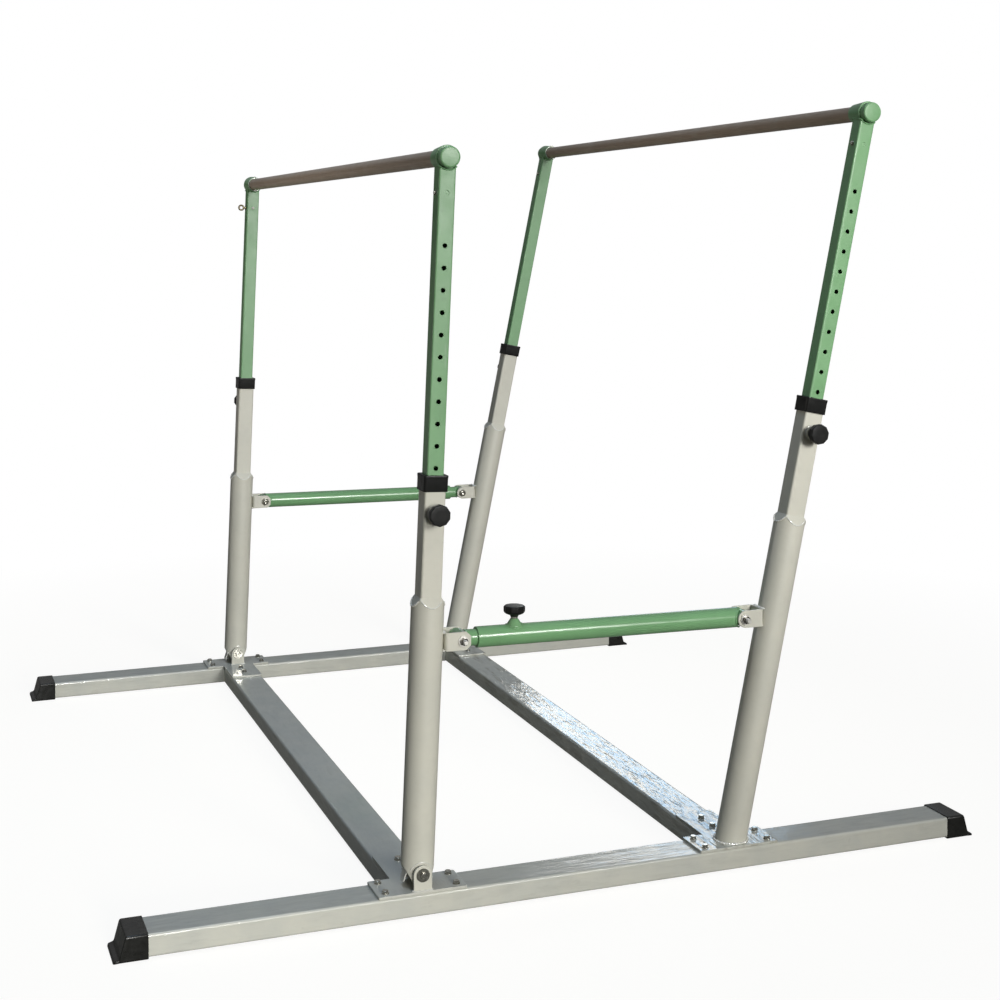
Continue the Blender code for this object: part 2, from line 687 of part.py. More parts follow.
def upright_knob(name, post, frame, side):
    back = SQUARE / 2 + KNOB_BACK
    inside = back + 0.002
    neck_end = SQUARE / 2 + KNOB_BOSS_HEIGHT + PIN_CLEAR
    tip = UPRIGHT / 2 + PIN_CLEAR
    profile = [(0.0, inside), (KNOB_NECK, inside), (KNOB_NECK, neck_end), (PIN_RADIUS, neck_end),
               (PIN_RADIUS, tip), (0.0, tip)]
    small = name == "right_rear_knob"
    knob(name, profile, back, frame, (0.0, 0.0, pin_height(post, side)), outboard(side), small)


def clamp_knob(name, frame, x):
    tip = CROSS_INNER + PIN_CLEAR
    boss = CROSS_OUTER + CLAMP_BOSS_HEIGHT
    back = boss + CLAMP_HEAD_GAP
    inside = back + 0.002
    profile = [(0.0, inside), (CLAMP_STEM, inside), (CLAMP_STEM, boss + PIN_CLEAR), (PIN_RADIUS, boss + PIN_CLEAR),
               (PIN_RADIUS, tip), (0.0, tip)]
    knob(name, profile, back, frame, (x, 0.0, 0.0), (0.0, 0.0, 0.0))


# Cross tubes, in a frame on the right bracket's pin with -X pointing to the left one

def bracket_pin_place(post):
    lean = post["lean"]
    out = post["bracket_out"]
    up = post["bracket_up"]
    x = post["x"] + up * math.sin(lean) + out * math.cos(lean)
    z = post["z"] + up * math.cos(lean) - out * math.sin(lean)
    return x, z


def cross_frame(label, side):
    right_x, right_z = bracket_pin_place(RIGHT)
    left_x, left_z = bracket_pin_place(LEFT)
    lean = math.atan2(left_z - right_z, right_x - left_x)
    frame = empty(label + "_cross_axis", (right_x, side * RAIL_Y, right_z), lean)
    return frame, math.hypot(right_x - left_x, right_z - left_z)


def cross_tube(name, profile, eye_x, hole, frame, side):
    tube = turned(name, profile, WIDE_STEPS, frame, (0.0, 0.0, 0.0), (0.0, -math.pi / 2, 0.0), "green_paint", tube=True)
    eye = turned(name + "_eye", rod(EYE_RADIUS, -EYE_HALF, EYE_HALF), MIDDLE_STEPS, frame, (eye_x, 0.0, 0.0), outboard(side))
    combine(tube, eye, "UNION")
    drill = turned(name + "_pin_hole", rod(hole, -0.035, 0.035), SMALL_STEPS, frame, (eye_x, 0.0, 0.0), outboard(side))
    combine(tube, drill, "DIFFERENCE")
    return tube


def outer_profile(start, end, mouth_at_end):
    wide = CROSS_OUTER - CROSS_OUTER_WALL
    snug = CROSS_INNER + PIN_CLEAR
    if mouth_at_end:
        step = end - CROSS_MOUTH
        return [(CROSS_OUTER, end), (CROSS_OUTER, start), (wide, start), (wide, step), (snug, step), (snug, end)]
    step = start + CROSS_MOUTH
    return [(CROSS_OUTER, end), (CROSS_OUTER, start), (snug, start), (snug, step), (wide, step), (wide, end)]


def add_clamp_boss(tube, name, frame, x):
    top = CROSS_OUTER + CLAMP_BOSS_HEIGHT
    low = CROSS_OUTER - 0.010
    profile = [(0.0, top), (CLAMP_BOSS_TOP, top), (CLAMP_BOSS_BASE, CROSS_OUTER - 0.002), (CLAMP_BOSS_BASE, low),
               (0.0, low)]
    boss = turned(name + "_boss", profile, MIDDLE_STEPS, frame, (x, 0.0, 0.0))
    combine(tube, boss, "UNION")
    inside = turned(name + "_boss_trim", rod(CROSS_INNER + CLAMP_PAD_GAP, x - 0.030, x + 0.030), WIDE_STEPS, frame,
                    (0.0, 0.0, 0.0), (0.0, math.pi / 2, 0.0))
    combine(tube, inside, "DIFFERENCE")
    drill = turned(name + "_boss_hole", rod(PIN_RADIUS + PIN_CLEAR, CROSS_INNER - 0.005, top + 0.005), SMALL_STEPS, frame,
                   (x, 0.0, 0.0), (0.0, 0.0, 0.1))
    combine(tube, drill, "DIFFERENCE")


def cross_pair(label, side, outer_on_right):
    frame, span = cross_frame(label, side)
    inner_bore = CROSS_INNER - CROSS_INNER_WALL
    pin = BRACKET_PIN + TURNING_GAP
    if outer_on_right:
        outer_eye, inner_eye = 0.0, -span
        outer_hole, inner_hole = pin, OPEN_PIN_HOLE
        outer = outer_profile(CROSS_START, span - CROSS_STUB, True)
        inner = pipe(CROSS_INNER, inner_bore, span - CROSS_STUB - CROSS_ENGAGED, span - CROSS_START)
        clamp_x = CROSS_STUB + CLAMP_FROM_MOUTH - span
    else:
        outer_eye, inner_eye = -span, 0.0
        outer_hole, inner_hole = OPEN_PIN_HOLE, pin
        outer = outer_profile(CROSS_STUB, span - CROSS_START, False)
        inner = pipe(CROSS_INNER, inner_bore, CROSS_START, CROSS_STUB + CROSS_ENGAGED)
        clamp_x = -CROSS_STUB - CLAMP_FROM_MOUTH
    tube = cross_tube(label + "_cross_outer", outer, outer_eye, outer_hole, frame, side)
    add_clamp_boss(tube, label + "_cross_outer", frame, clamp_x)
    cross_tube(label + "_cross_inner", inner, inner_eye, inner_hole, frame, side)
    clamp_knob(label + "_clamp_knob", frame, clamp_x)


def build_post_set(post, label, side):
    base = plate_frame(post, label, side)
    frame = post_frame(post, label, side)
    name = post["name"] + "_" + label
    plate_bolts(name, base, side)
    if post is LEFT:
        left_base(label, side, base)
        left_post(label, side, frame)
        foot = empty(name + "_hinge", (post["x"], side * RAIL_Y, post["z"]))
        cross_bolt(name + "_hinge_bolt", foot, side, HINGE_RADIUS, HINGE_WASHER,
                   FOOT_EAR_INNER + FOOT_EAR_THICKNESS, 0.013)
    else:
        right_post(label, side, frame, base)
    collar(name + "_collar", post, frame, side)
    upright(name + "_upright", post, frame, side)
    sleeve_cap(name + "_sleeve_cap", post, frame, side)
    upright_knob(name + "_knob", post, frame, side)
    level = empty(name + "_pin_axis", (post["bracket_out"], 0.0, post["bracket_up"]), -post["lean"], frame)
    cross_bolt(name + "_bracket_bolt", level, side, BRACKET_PIN, BRACKET_WASHER, BRACKET_INNER + BRACKET_THICKNESS,
               0.018)
    eye = name == "left_rear"
    side_bolt(name + "_side_bolt", post, frame, 0.010, 0.024 if eye else 0.009, "brass" if eye else "zinc")


def build():
    for label, side in SIDES.items():
        rail(label, side)
        for end_name, end in (("left", -1), ("right", 1)):
            rail_cap(end_name + "_" + label + "_rail_cap", end, side)
    for post in (LEFT, RIGHT):
        beam(post["name"], post["x"])
        for label, side in SIDES.items():
            build_post_set(post, label, side)
        bar(post["name"] + "_bar", post)
    cross_pair("front", SIDES["front"], True)
    cross_pair("rear", SIDES["rear"], False)


build()
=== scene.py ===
import json
import math

import bpy
import numpy as np
from mathutils import Matrix


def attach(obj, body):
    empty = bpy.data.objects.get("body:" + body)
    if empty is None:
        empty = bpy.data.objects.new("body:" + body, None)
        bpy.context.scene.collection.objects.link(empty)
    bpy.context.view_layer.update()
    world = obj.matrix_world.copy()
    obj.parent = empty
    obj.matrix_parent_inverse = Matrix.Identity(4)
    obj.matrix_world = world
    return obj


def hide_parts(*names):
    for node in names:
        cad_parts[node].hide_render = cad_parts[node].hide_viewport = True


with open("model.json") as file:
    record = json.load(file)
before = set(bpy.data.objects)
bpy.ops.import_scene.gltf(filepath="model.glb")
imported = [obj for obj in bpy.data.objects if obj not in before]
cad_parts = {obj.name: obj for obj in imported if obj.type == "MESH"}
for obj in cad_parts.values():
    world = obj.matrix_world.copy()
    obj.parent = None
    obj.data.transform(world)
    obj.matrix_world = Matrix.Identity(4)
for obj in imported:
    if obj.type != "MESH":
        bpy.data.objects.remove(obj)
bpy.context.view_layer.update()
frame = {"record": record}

# the pieces' sizes are in millimetres, and mm turns them into Blender's metres; the floor, the lamps and
# the camera are in metres
mm = 0.001

# the two pairs of posts: foot, lean, heights along the tube, and the bracket for the cross tube
posts = {
    "left": {"x": -389, "z": 96, "lean": 2.7, "topHole": 1413, "shoulder": 622, "bracketUp": 522,
             "bracketOut": 79, "webBack": 42.5, "towards": 1, "skin": "beamPaint", "taller": {-1: 0, 1: 1}},
    "right": {"x": 409, "z": 54, "lean": 11.7, "topHole": 1614, "shoulder": 808, "bracketUp": 543,
              "bracketOut": -88, "webBack": 49.5, "towards": -1, "skin": "filmPaint",
              "taller": {-1: 0, 1: 0}},
}
sides = {"front": -1, "rear": 1}
railY = 1050
holePitch = 50
plateTop = 60.3

bodyOf = {node: body for body, nodes in frame["record"]["behaviour"]["bodies"].items() for node in nodes}


def wholeTurn(steps):
    # equal angles once round
    return np.arange(steps) * 2 * math.pi / steps


def arc(radius, turn):
    # the points of a circle at the given angles
    return np.stack([np.cos(turn), np.sin(turn)], axis=1) * radius


def pointsOf(*coordinates):
    # points from their two or three coordinates; a single number holds for every point
    return np.column_stack(np.broadcast_arrays(*coordinates))


def atHeight(outline, height):
    # a flat outline lifted to a height, or each of its points to its own
    return pointsOf(outline[:, 0], outline[:, 1], height)


def hoop(radius, y, z, steps):
    # a circle about the second axis
    turn = wholeTurn(steps)
    return pointsOf(radius * np.cos(turn), y, radius * np.sin(turn) + z)


def quadRows(rows, across, loop):
    # each quad joins neighbouring columns of one row to the same columns of the next; columns go round
    i = np.arange(rows if loop else rows - 1)[:, None]
    j = np.arange(across)[None, :]
    nextRow, nextColumn = (i + 1) % rows, (j + 1) % across
    corners = [i * across + j, i * across + nextColumn, nextRow * across + nextColumn, nextRow * across + j]
    return np.stack([c.ravel() for c in corners], axis=1)


def skin(rings, paint, loop=False, hubs=(None, None)):
    # a closed surface through rings of equal count; its ends are fans about a hub, or about the ring's
    # middle if none is given
    rings = np.asarray(rings, float)
    rows, across = rings.shape[:2]
    points, fans = [rings.reshape(-1, 3)], []
    here = np.arange(across)
    after = (here + 1) % across
    if not loop:
        for end, hub in enumerate(hubs):
            row = end * (rows - 1)
            middle = rings[row].mean(axis=0) if hub is None else np.asarray(hub, float)
            points.append(middle[None, :])
            first, second = (here, after) if end else (after, here)
            fans.append(pointsOf(row * across + first, row * across + second, rows * across + end))
    triangles = np.concatenate(fans) if fans else np.zeros((0, 3), int)
    return np.concatenate(points), quadRows(rows, across, loop), triangles, paint


def faceOutwards(points, quads, triangles):
    # the volume summed over the faces is negative when they point inwards; then every face is turned round
    halves = np.concatenate([quads[:, [0, 1, 2]], quads[:, [0, 2, 3]], triangles])
    a, b, c = (points[halves[:, k]] - points.mean(axis=0) for k in range(3))
    if np.einsum("ij,ij->i", a, np.cross(b, c)).sum() < 0:
        return quads[:, ::-1], triangles[:, ::-1]
    return quads, triangles


def soften(outline, radius, steps=4, closed=False):
    # every corner becomes a parabola that leaves its two sides one radius away from it
    p = np.asarray(outline, float)
    back, ahead = np.roll(p, 1, axis=0) - p, np.roll(p, -1, axis=0) - p
    backLength = np.linalg.norm(back, axis=1, keepdims=True)
    aheadLength = np.linalg.norm(ahead, axis=1, keepdims=True)
    reach = np.broadcast_to(np.asarray(radius, float), (len(p),))[:, None]
    cut = np.minimum(reach, 0.45 * np.minimum(backLength, aheadLength))
    start, end = p + back / backLength * cut, p + ahead / aheadLength * cut
    t = np.linspace(0, 1, steps + 1)[None, :, None]
    curve = (1 - t) ** 2 * start[:, None] + 2 * t * (1 - t) * p[:, None] + t ** 2 * end[:, None]
    if closed:
        return curve.reshape(-1, p.shape[1])
    return np.concatenate([p[:1], curve[1:-1].reshape(-1, p.shape[1]), p[-1:]])


def roundBox(width, height, corner, steps=6, flats=1, hold=0.4):
    # a rectangle with quarter-circle corners, anticlockwise; each flat is cut into equal lengths, and a point
    # stands a little way in from either end of it to hold the edge crisp
    quarter = arc(corner, np.linspace(0, math.pi / 2, steps + 1))
    half = np.array([width / 2 - corner, height / 2 - corner])
    corners = []
    for k, signs in enumerate(((1, 1), (-1, 1), (-1, -1), (1, -1))):
        c, s = math.cos(k * math.pi / 2), math.sin(k * math.pi / 2)
        corners.append(quarter @ np.array([[c, s], [-s, c]]) + half * signs)
    outline = []
    for k in range(4):
        a, b = corners[k][-1], corners[(k + 1) % 4][0]
        length = np.linalg.norm(b - a)
        stops = np.concatenate([[hold], np.linspace(0, length, flats + 1)[1:-1], [length - hold]])
        outline += [corners[k], a + (b - a) / length * stops[:, None]]
    return np.concatenate(outline)


def inset(outline, amount):
    # each point of an anticlockwise outline moves inwards along the bisector of its two sides
    ahead = np.roll(outline, -1, axis=0) - outline
    ahead = ahead / np.linalg.norm(ahead, axis=1, keepdims=True)
    both = ahead + np.roll(ahead, 1, axis=0)
    normal = np.stack([-both[:, 1], both[:, 0]], axis=1)
    return outline + amount * 2 * normal / (normal ** 2).sum(axis=1, keepdims=True)


def stack(outline, rows):
    # one ring per (inset, height): the outline drawn in by the first and lifted to the second
    return np.stack([atHeight(inset(outline, amount), height) for amount, height in rows])


def slab(outline, low, high, paint, edge=0.7, hub=None):
    # a flat plate with quarter-round edges
    turn = np.linspace(0, math.pi / 2, 4)
    under = [(edge * (1 - math.sin(t)), low + edge * (1 - math.cos(t))) for t in turn]
    over = [(amount, low + high - height) for amount, height in reversed(under)]
    rows = [(edge + 0.5, low)] + under + over + [(edge + 0.5, high)]
    hubs = (None, None) if hub is None else ((*hub, low), (*hub, high))
    return skin(stack(outline, rows), paint, hubs=hubs)


def ringsAbout(axis, radius, height):
    # the radius, given by row and angle, goes round an axis; the height lies along it
    turn = wholeTurn(radius.shape[1])
    rings = np.zeros((*radius.shape, 3))
    rings[..., (axis + 1) % 3] = radius * np.cos(turn)
    rings[..., (axis + 2) % 3] = radius * np.sin(turn)
    rings[..., axis] = height
    return rings


def turned(profile, paint, steps=48, axis=2, at=(0, 0, 0), ring=False, wave=None):
    # (radius, height) points turned about an axis; wave scales the radius by row and angle
    profile = np.asarray(profile, float)
    radius = np.repeat(profile[:, :1], steps, axis=1)
    if wave is not None:
        radius = radius * wave(wholeTurn(steps))
    return skin(ringsAbout(axis, radius, profile[:, 1:2]) + np.asarray(at, float), paint, loop=ring)


def swept(path, section, up, paint, closed=False, scale=None):
    # a flat section carried along a path: its first axis lies across the path and its second towards up
    path = np.asarray(path, float)
    if closed:
        along = np.roll(path, -1, axis=0) - np.roll(path, 1, axis=0)
    else:
        along = np.gradient(path, axis=0)
    along /= np.linalg.norm(along, axis=1, keepdims=True)
    across = np.cross(along, np.broadcast_to(np.asarray(up, float), path.shape))
    across /= np.linalg.norm(across, axis=1, keepdims=True)
    over = np.cross(across, along)
    size = np.ones(len(path)) if scale is None else scale
    rings = (path[:, None] + (across[:, None] * section[None, :, :1] + over[:, None] * section[None, :, 1:])
             * size[:, None, None])
    return skin(rings, paint, loop=closed)


def bead(path, radius, up, paint="weldPaint", closed=False, flat=0.75):
    # a weld: a low round section whose size swells and shrinks along the run, as the drops froze; its pale
    # paint, unless another is given, is a painted highlight for the glints on the beads
    path = np.asarray(path, float)
    steps = np.linalg.norm(np.diff(path, axis=0), axis=1)
    run = np.concatenate([[0.0], np.cumsum(steps)])
    size = 1 + 0.16 * np.sin(run * 2 * math.pi / (radius * 1.15)) + 0.10 * np.sin(run * 0.9 + 1.3)
    if not closed:
        size = size * np.clip(np.minimum(run, run[-1] - run) / radius * 0.7 + 0.35, 0, 1)
    return swept(path, arc(radius, wholeTurn(10)) * [1, flat], up, paint, closed, size)


def hexagon(flats, low, high, paint, axis=2, at=(0, 0, 0), turnBy=0.0, chamfer=0.12, steps=48):
    # a nut or head: the distance to the nearest flat, with the corners of the free end turned off
    sector = (wholeTurn(steps) + turnBy) % (math.pi / 3) - math.pi / 6
    wall = flats / 2 / np.cos(sector)
    cap = flats / 2 * (1.155 - chamfer)
    drop = (wall - np.minimum(wall, cap)) * 0.6
    rows = [(wall - 0.35, low), (wall, low + 0.3), (wall, high - 0.2 - drop),
            (np.minimum(wall, cap + 0.2) - 0.2, high - drop * 0.55), (np.minimum(wall, cap) - 0.7, high),
            (flats * 0.36, high)]
    radius, height = (np.stack([np.broadcast_to(row[k], steps) for row in rows]) for k in (0, 1))
    return skin(ringsAbout(axis, radius, height) + np.asarray(at, float), paint)


def washer(radius, bore, low, high, paint, axis=2, at=(0, 0, 0), edge=0.3):
    # a flat ring whose outer edges are broken
    profile = [(radius - edge, low), (radius, low + edge), (radius, high - edge), (radius - edge, high),
               (bore, high), (bore, low)]
    return turned(profile, paint, 48, axis, at, ring=True)


def levelSpot(x, y, z, towards=1, side=1):
    # a place in the world whose first axis may look either way and whose second leads away from the lane
    return np.array([x, y, z], float), np.diag([towards, side, 1]).astype(float)


def plateSpot(post, side):
    # on the floor under a post's foot
    return levelSpot(post["x"], side * railY, 0, 1, side)


def postSpot(post, side):
    # across the post, away from the lane, and up the leaning tube
    lean = math.radians(post["lean"])
    c, s = math.cos(lean), math.sin(lean)
    axes = np.array([[c, 0, -s], [0, side, 0], [s, 0, c]])
    return np.array([post["x"], side * railY, post["z"]], float), axes


def bracketSpot(post, side):
    # at the bracket's bolt, looking at the other post
    origin, axes = postSpot(post, side)
    pin = origin + post["bracketOut"] * axes[0] + post["bracketUp"] * axes[2]
    return levelSpot(*pin, post["towards"], side)


def crossSpot(side):
    # along the cross tube from the right pin to the left one
    right, left = bracketSpot(posts["right"], side)[0], bracketSpot(posts["left"], side)[0]
    span = np.linalg.norm(left - right)
    along = (left - right) / span
    return (right, np.array([along, np.array([0, side, 0], float), np.array([along[2], 0, -along[0]])])), span


def turnedTo(shell, axes=((1, 0, 0), (0, 1, 0), (0, 0, 1)), by=(0, 0, 0)):
    # the shell's own axes laid along the given ones, and the whole moved
    return shell[0] @ np.asarray(axes, float) + np.asarray(by, float), *shell[1:]


def inPost(shell, spot, place):
    # a shell drawn in one spot's axes, read in the post's
    world = shell[0] @ spot[1] + spot[0]
    return (world - place[0]) @ place[1].T, *shell[1:]


def makePiece(node, shells, spot, sharp=38):
    # one mesh from all the shells, placed in the world, with a finish per shell; it stands for its CAD node
    origin, axes = spot
    points, faces, paints = [], [], []
    finishList = sorted({shell[3] for shell in shells})
    total = 0
    for local, quads, triangles, paint in shells:
        world = (local @ axes + origin) * mm
        quads, triangles = faceOutwards(world, quads, triangles)
        points.append(world)
        faces += (quads + total).tolist() + (triangles + total).tolist()
        paints.append(np.full(len(quads) + len(triangles), finishList.index(paint)))
        total += len(world)
    mesh = bpy.data.meshes.new(node + "_fine")
    mesh.from_pydata(np.concatenate(points).tolist(), [], faces)
    mesh.polygons.foreach_set("material_index", np.concatenate(paints).astype(np.int32))
    for paint in finishList:
        mesh.materials.append(finishes[paint])
    mesh.shade_smooth()
    mesh.set_sharp_from_angle(angle=math.radians(sharp))
    mesh.validate()
    mesh.update()
    piece = bpy.data.objects.new(node + "_fine", mesh)
    bpy.context.scene.collection.objects.link(piece)
    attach(piece, bodyOf[node])
    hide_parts(node)


def addNode(tree, kind, inputs=None, **settings):
    # a node with its settings, then its inputs: each a number, a colour, or another node's output to link
    node = tree.nodes.new("ShaderNode" + kind)
    for key, value in settings.items():
        setattr(node, key, value)
    for key, value in (inputs or {}).items():
        socket = node.inputs[key]
        if isinstance(value, bpy.types.NodeSocket):
            tree.links.new(value, socket)
        else:
            socket.default_value = (*value, 1) if socket.type == "RGBA" else value
    return node


def startFinish(name):
    # a material with its shader, and the object's own coordinates for its patterns
    material = bpy.data.materials.new(name)
    material.use_nodes = True
    tree = material.node_tree
    return material, tree, tree.nodes["Principled BSDF"], addNode(tree, "TexCoord").outputs["Object"]


def noise(tree, place, scale, detail=3, rough=0.55, stretch=None):
    # cloudy noise about one half; the stretch packs it closer or draws it out along each axis
    if stretch:
        place = addNode(tree, "Mapping", {"Vector": place, "Scale": stretch}).outputs["Vector"]
    inputs = {"Vector": place, "Scale": scale, "Detail": detail, "Roughness": rough}
    return addNode(tree, "TexNoise", inputs).outputs["Fac"]


def spread(tree, value, fromLow, fromHigh, low, high):
    # the stretch of a value between two limits, laid out between two others
    inputs = {"Value": value, "From Min": fromLow, "From Max": fromHigh, "To Min": low, "To Max": high}
    return addNode(tree, "MapRange", inputs).outputs["Result"]


def mixed(tree, factor, first, second):
    # two colours blended; the node's colour inputs are its seventh and eighth
    return addNode(tree, "Mix", {"Factor": factor, 6: first, 7: second}, data_type="RGBA").outputs[2]


def maths(tree, operation, first, second, **settings):
    # a product, a power or the greater of two values
    return addNode(tree, "Math", {0: first, 1: second}, operation=operation, **settings).outputs[0]


def stained(tree, tone, pattern, low, high, amount, colour):
    # the tone turned towards a colour, by no more than the amount, where the pattern rises from low to high
    return mixed(tree, spread(tree, pattern, low, high, 0, amount), tone, colour)


def surfaced(tree, shader, place, tone, dull, rough, layers):
    # the tone, a cloudy roughness between two limits, and bumps over each other, each given by its
    # (height, strength, distance)
    tree.links.new(tone, shader.inputs["Base Color"])
    tree.links.new(spread(tree, noise(tree, place, *dull), 0.3, 0.7, *rough), shader.inputs["Roughness"])
    below = {}
    for height, strength, distance in layers:
        bump = addNode(tree, "Bump", {"Height": height, "Strength": strength, "Distance": distance, **below})
        below = {"Normal": bump.outputs["Normal"]}
    tree.links.new(below["Normal"], shader.inputs["Normal"])


# each noise has its scale, detail and roughness, then a stretch where it has a direction of its own
paintNoise = {"cloud": (9, 4), "grime": (38, 6, 0.65), "streak": (60, 4, 0.6), "dull": (22, 3),
              "peel": (620, 2, 0.5)}
metalNoise = {"cloud": (160, 4, 0.6), "speck": (700, 3, 0.7), "dull": (400, 3),
              "marks": (900, 3, 0.6, (1, 0.15, 1))}
mouldedNoise = {"worn": (30, 5, 0.6), "dust": (210, 5, 0.7), "dull": (70, 3), "soft": (120, 3, 0.5)}
barNoise = {"grain": (90, 5, 0.6, (3.0, 0.12, 3.0)), "patch": (14, 5, 0.65), "dull": (18, 4),
            "fine": (800, 2, 0.5)}


def paintFinish(tree, shader, place, s):
    # powder coat: cloudy tone, grime, fine scratches to another coat (pale streaks of painted glare on the
    # right beam's finish), a wavy gloss that also darkens the tone as painted shade, and an orange-peel skin
    tone = stained(tree, s["base"], noise(tree, place, *paintNoise["cloud"]), 0.35, 0.65, 1, s["cloud"])
    tone = stained(tree, tone, noise(tree, place, *paintNoise["grime"]), 0.62, 0.78, s["grime"], s["dirt"])
    streak = noise(tree, place, *paintNoise["streak"], s["streak"])
    # the streaks turn towards the bare coat; on the right beam's finish that tone is pale and bluish, painted
    # glare
    tone = stained(tree, tone, streak, 0.70, 0.76, s["scratch"], s["bareAndGlare"])
    wave = s["wave"]
    wavy = noise(tree, place, wave["scale"], stretch=wave["stretch"])
    # where the wave rises the tone turns towards the dirt colour: painted shade that gives the wrinkles
    # contrast
    tone = stained(tree, tone, wavy, 0.52, 0.66, wave["paintedShade"], s["dirt"])
    shader.inputs["IOR"].default_value = s.get("ior", 1.5)
    peel = noise(tree, place, *paintNoise["peel"])
    surfaced(tree, shader, place, tone, paintNoise["dull"], s["rough"],
             [(wavy, wave["strength"], wave["height"]), (peel, 0.16, 0.0002), (streak, 0.06, 0.0003)])


def metalFinish(tree, shader, place, s):
    # plated steel: cloudy plating, fine turned marks and dark specks
    tone = stained(tree, s["base"], noise(tree, place, *metalNoise["cloud"]), 0.35, 0.65, 1, s["cloud"])
    tone = stained(tree, tone, noise(tree, place, *metalNoise["speck"]), 0.62, 0.74, s["specks"], s["dirt"])
    shader.inputs["Metallic"].default_value = 1
    marks = noise(tree, place, *metalNoise["marks"])
    surfaced(tree, shader, place, tone, metalNoise["dull"], s["rough"], [(marks, 0.18, 0.0003)])


def mouldedFinish(tree, shader, place, s):
    # rubber or plastic: fine grain, greyer where it is rubbed, a little dust
    tone = stained(tree, s["base"], noise(tree, place, *mouldedNoise["worn"]), 0.45, 0.72, 1, s["worn"])
    tone = stained(tree, tone, noise(tree, place, *mouldedNoise["dust"]), 0.60, 0.80, s["dust"],
                   s["dustTone"])
    shader.inputs["Specular IOR Level"].default_value = s["shine"]
    grain = addNode(tree, "TexVoronoi", {"Vector": place, "Scale": s["grain"]}).outputs["Distance"]
    soft = noise(tree, place, *mouldedNoise["soft"])
    surfaced(tree, shader, place, tone, mouldedNoise["dull"], s["rough"],
             [(soft, 0.10, 0.0005), (grain, s["grainDepth"], 0.0002)])


def barFinish(tree, shader, place, s):
    # the bar's brown skin: drawn lengthwise, with chalky patches
    grain = noise(tree, place, *barNoise["grain"])
    tone = stained(tree, s["base"], grain, 0.38, 0.62, 1, s["light"])
    tone = stained(tree, tone, noise(tree, place, *barNoise["patch"]), 0.52, 0.72, s["chalk"], s["chalkTone"])
    fine = noise(tree, place, *barNoise["fine"])
    surfaced(tree, shader, place, tone, barNoise["dull"], s["rough"],
             [(grain, 0.18, 0.0004), (fine, 0.12, 0.0001)])


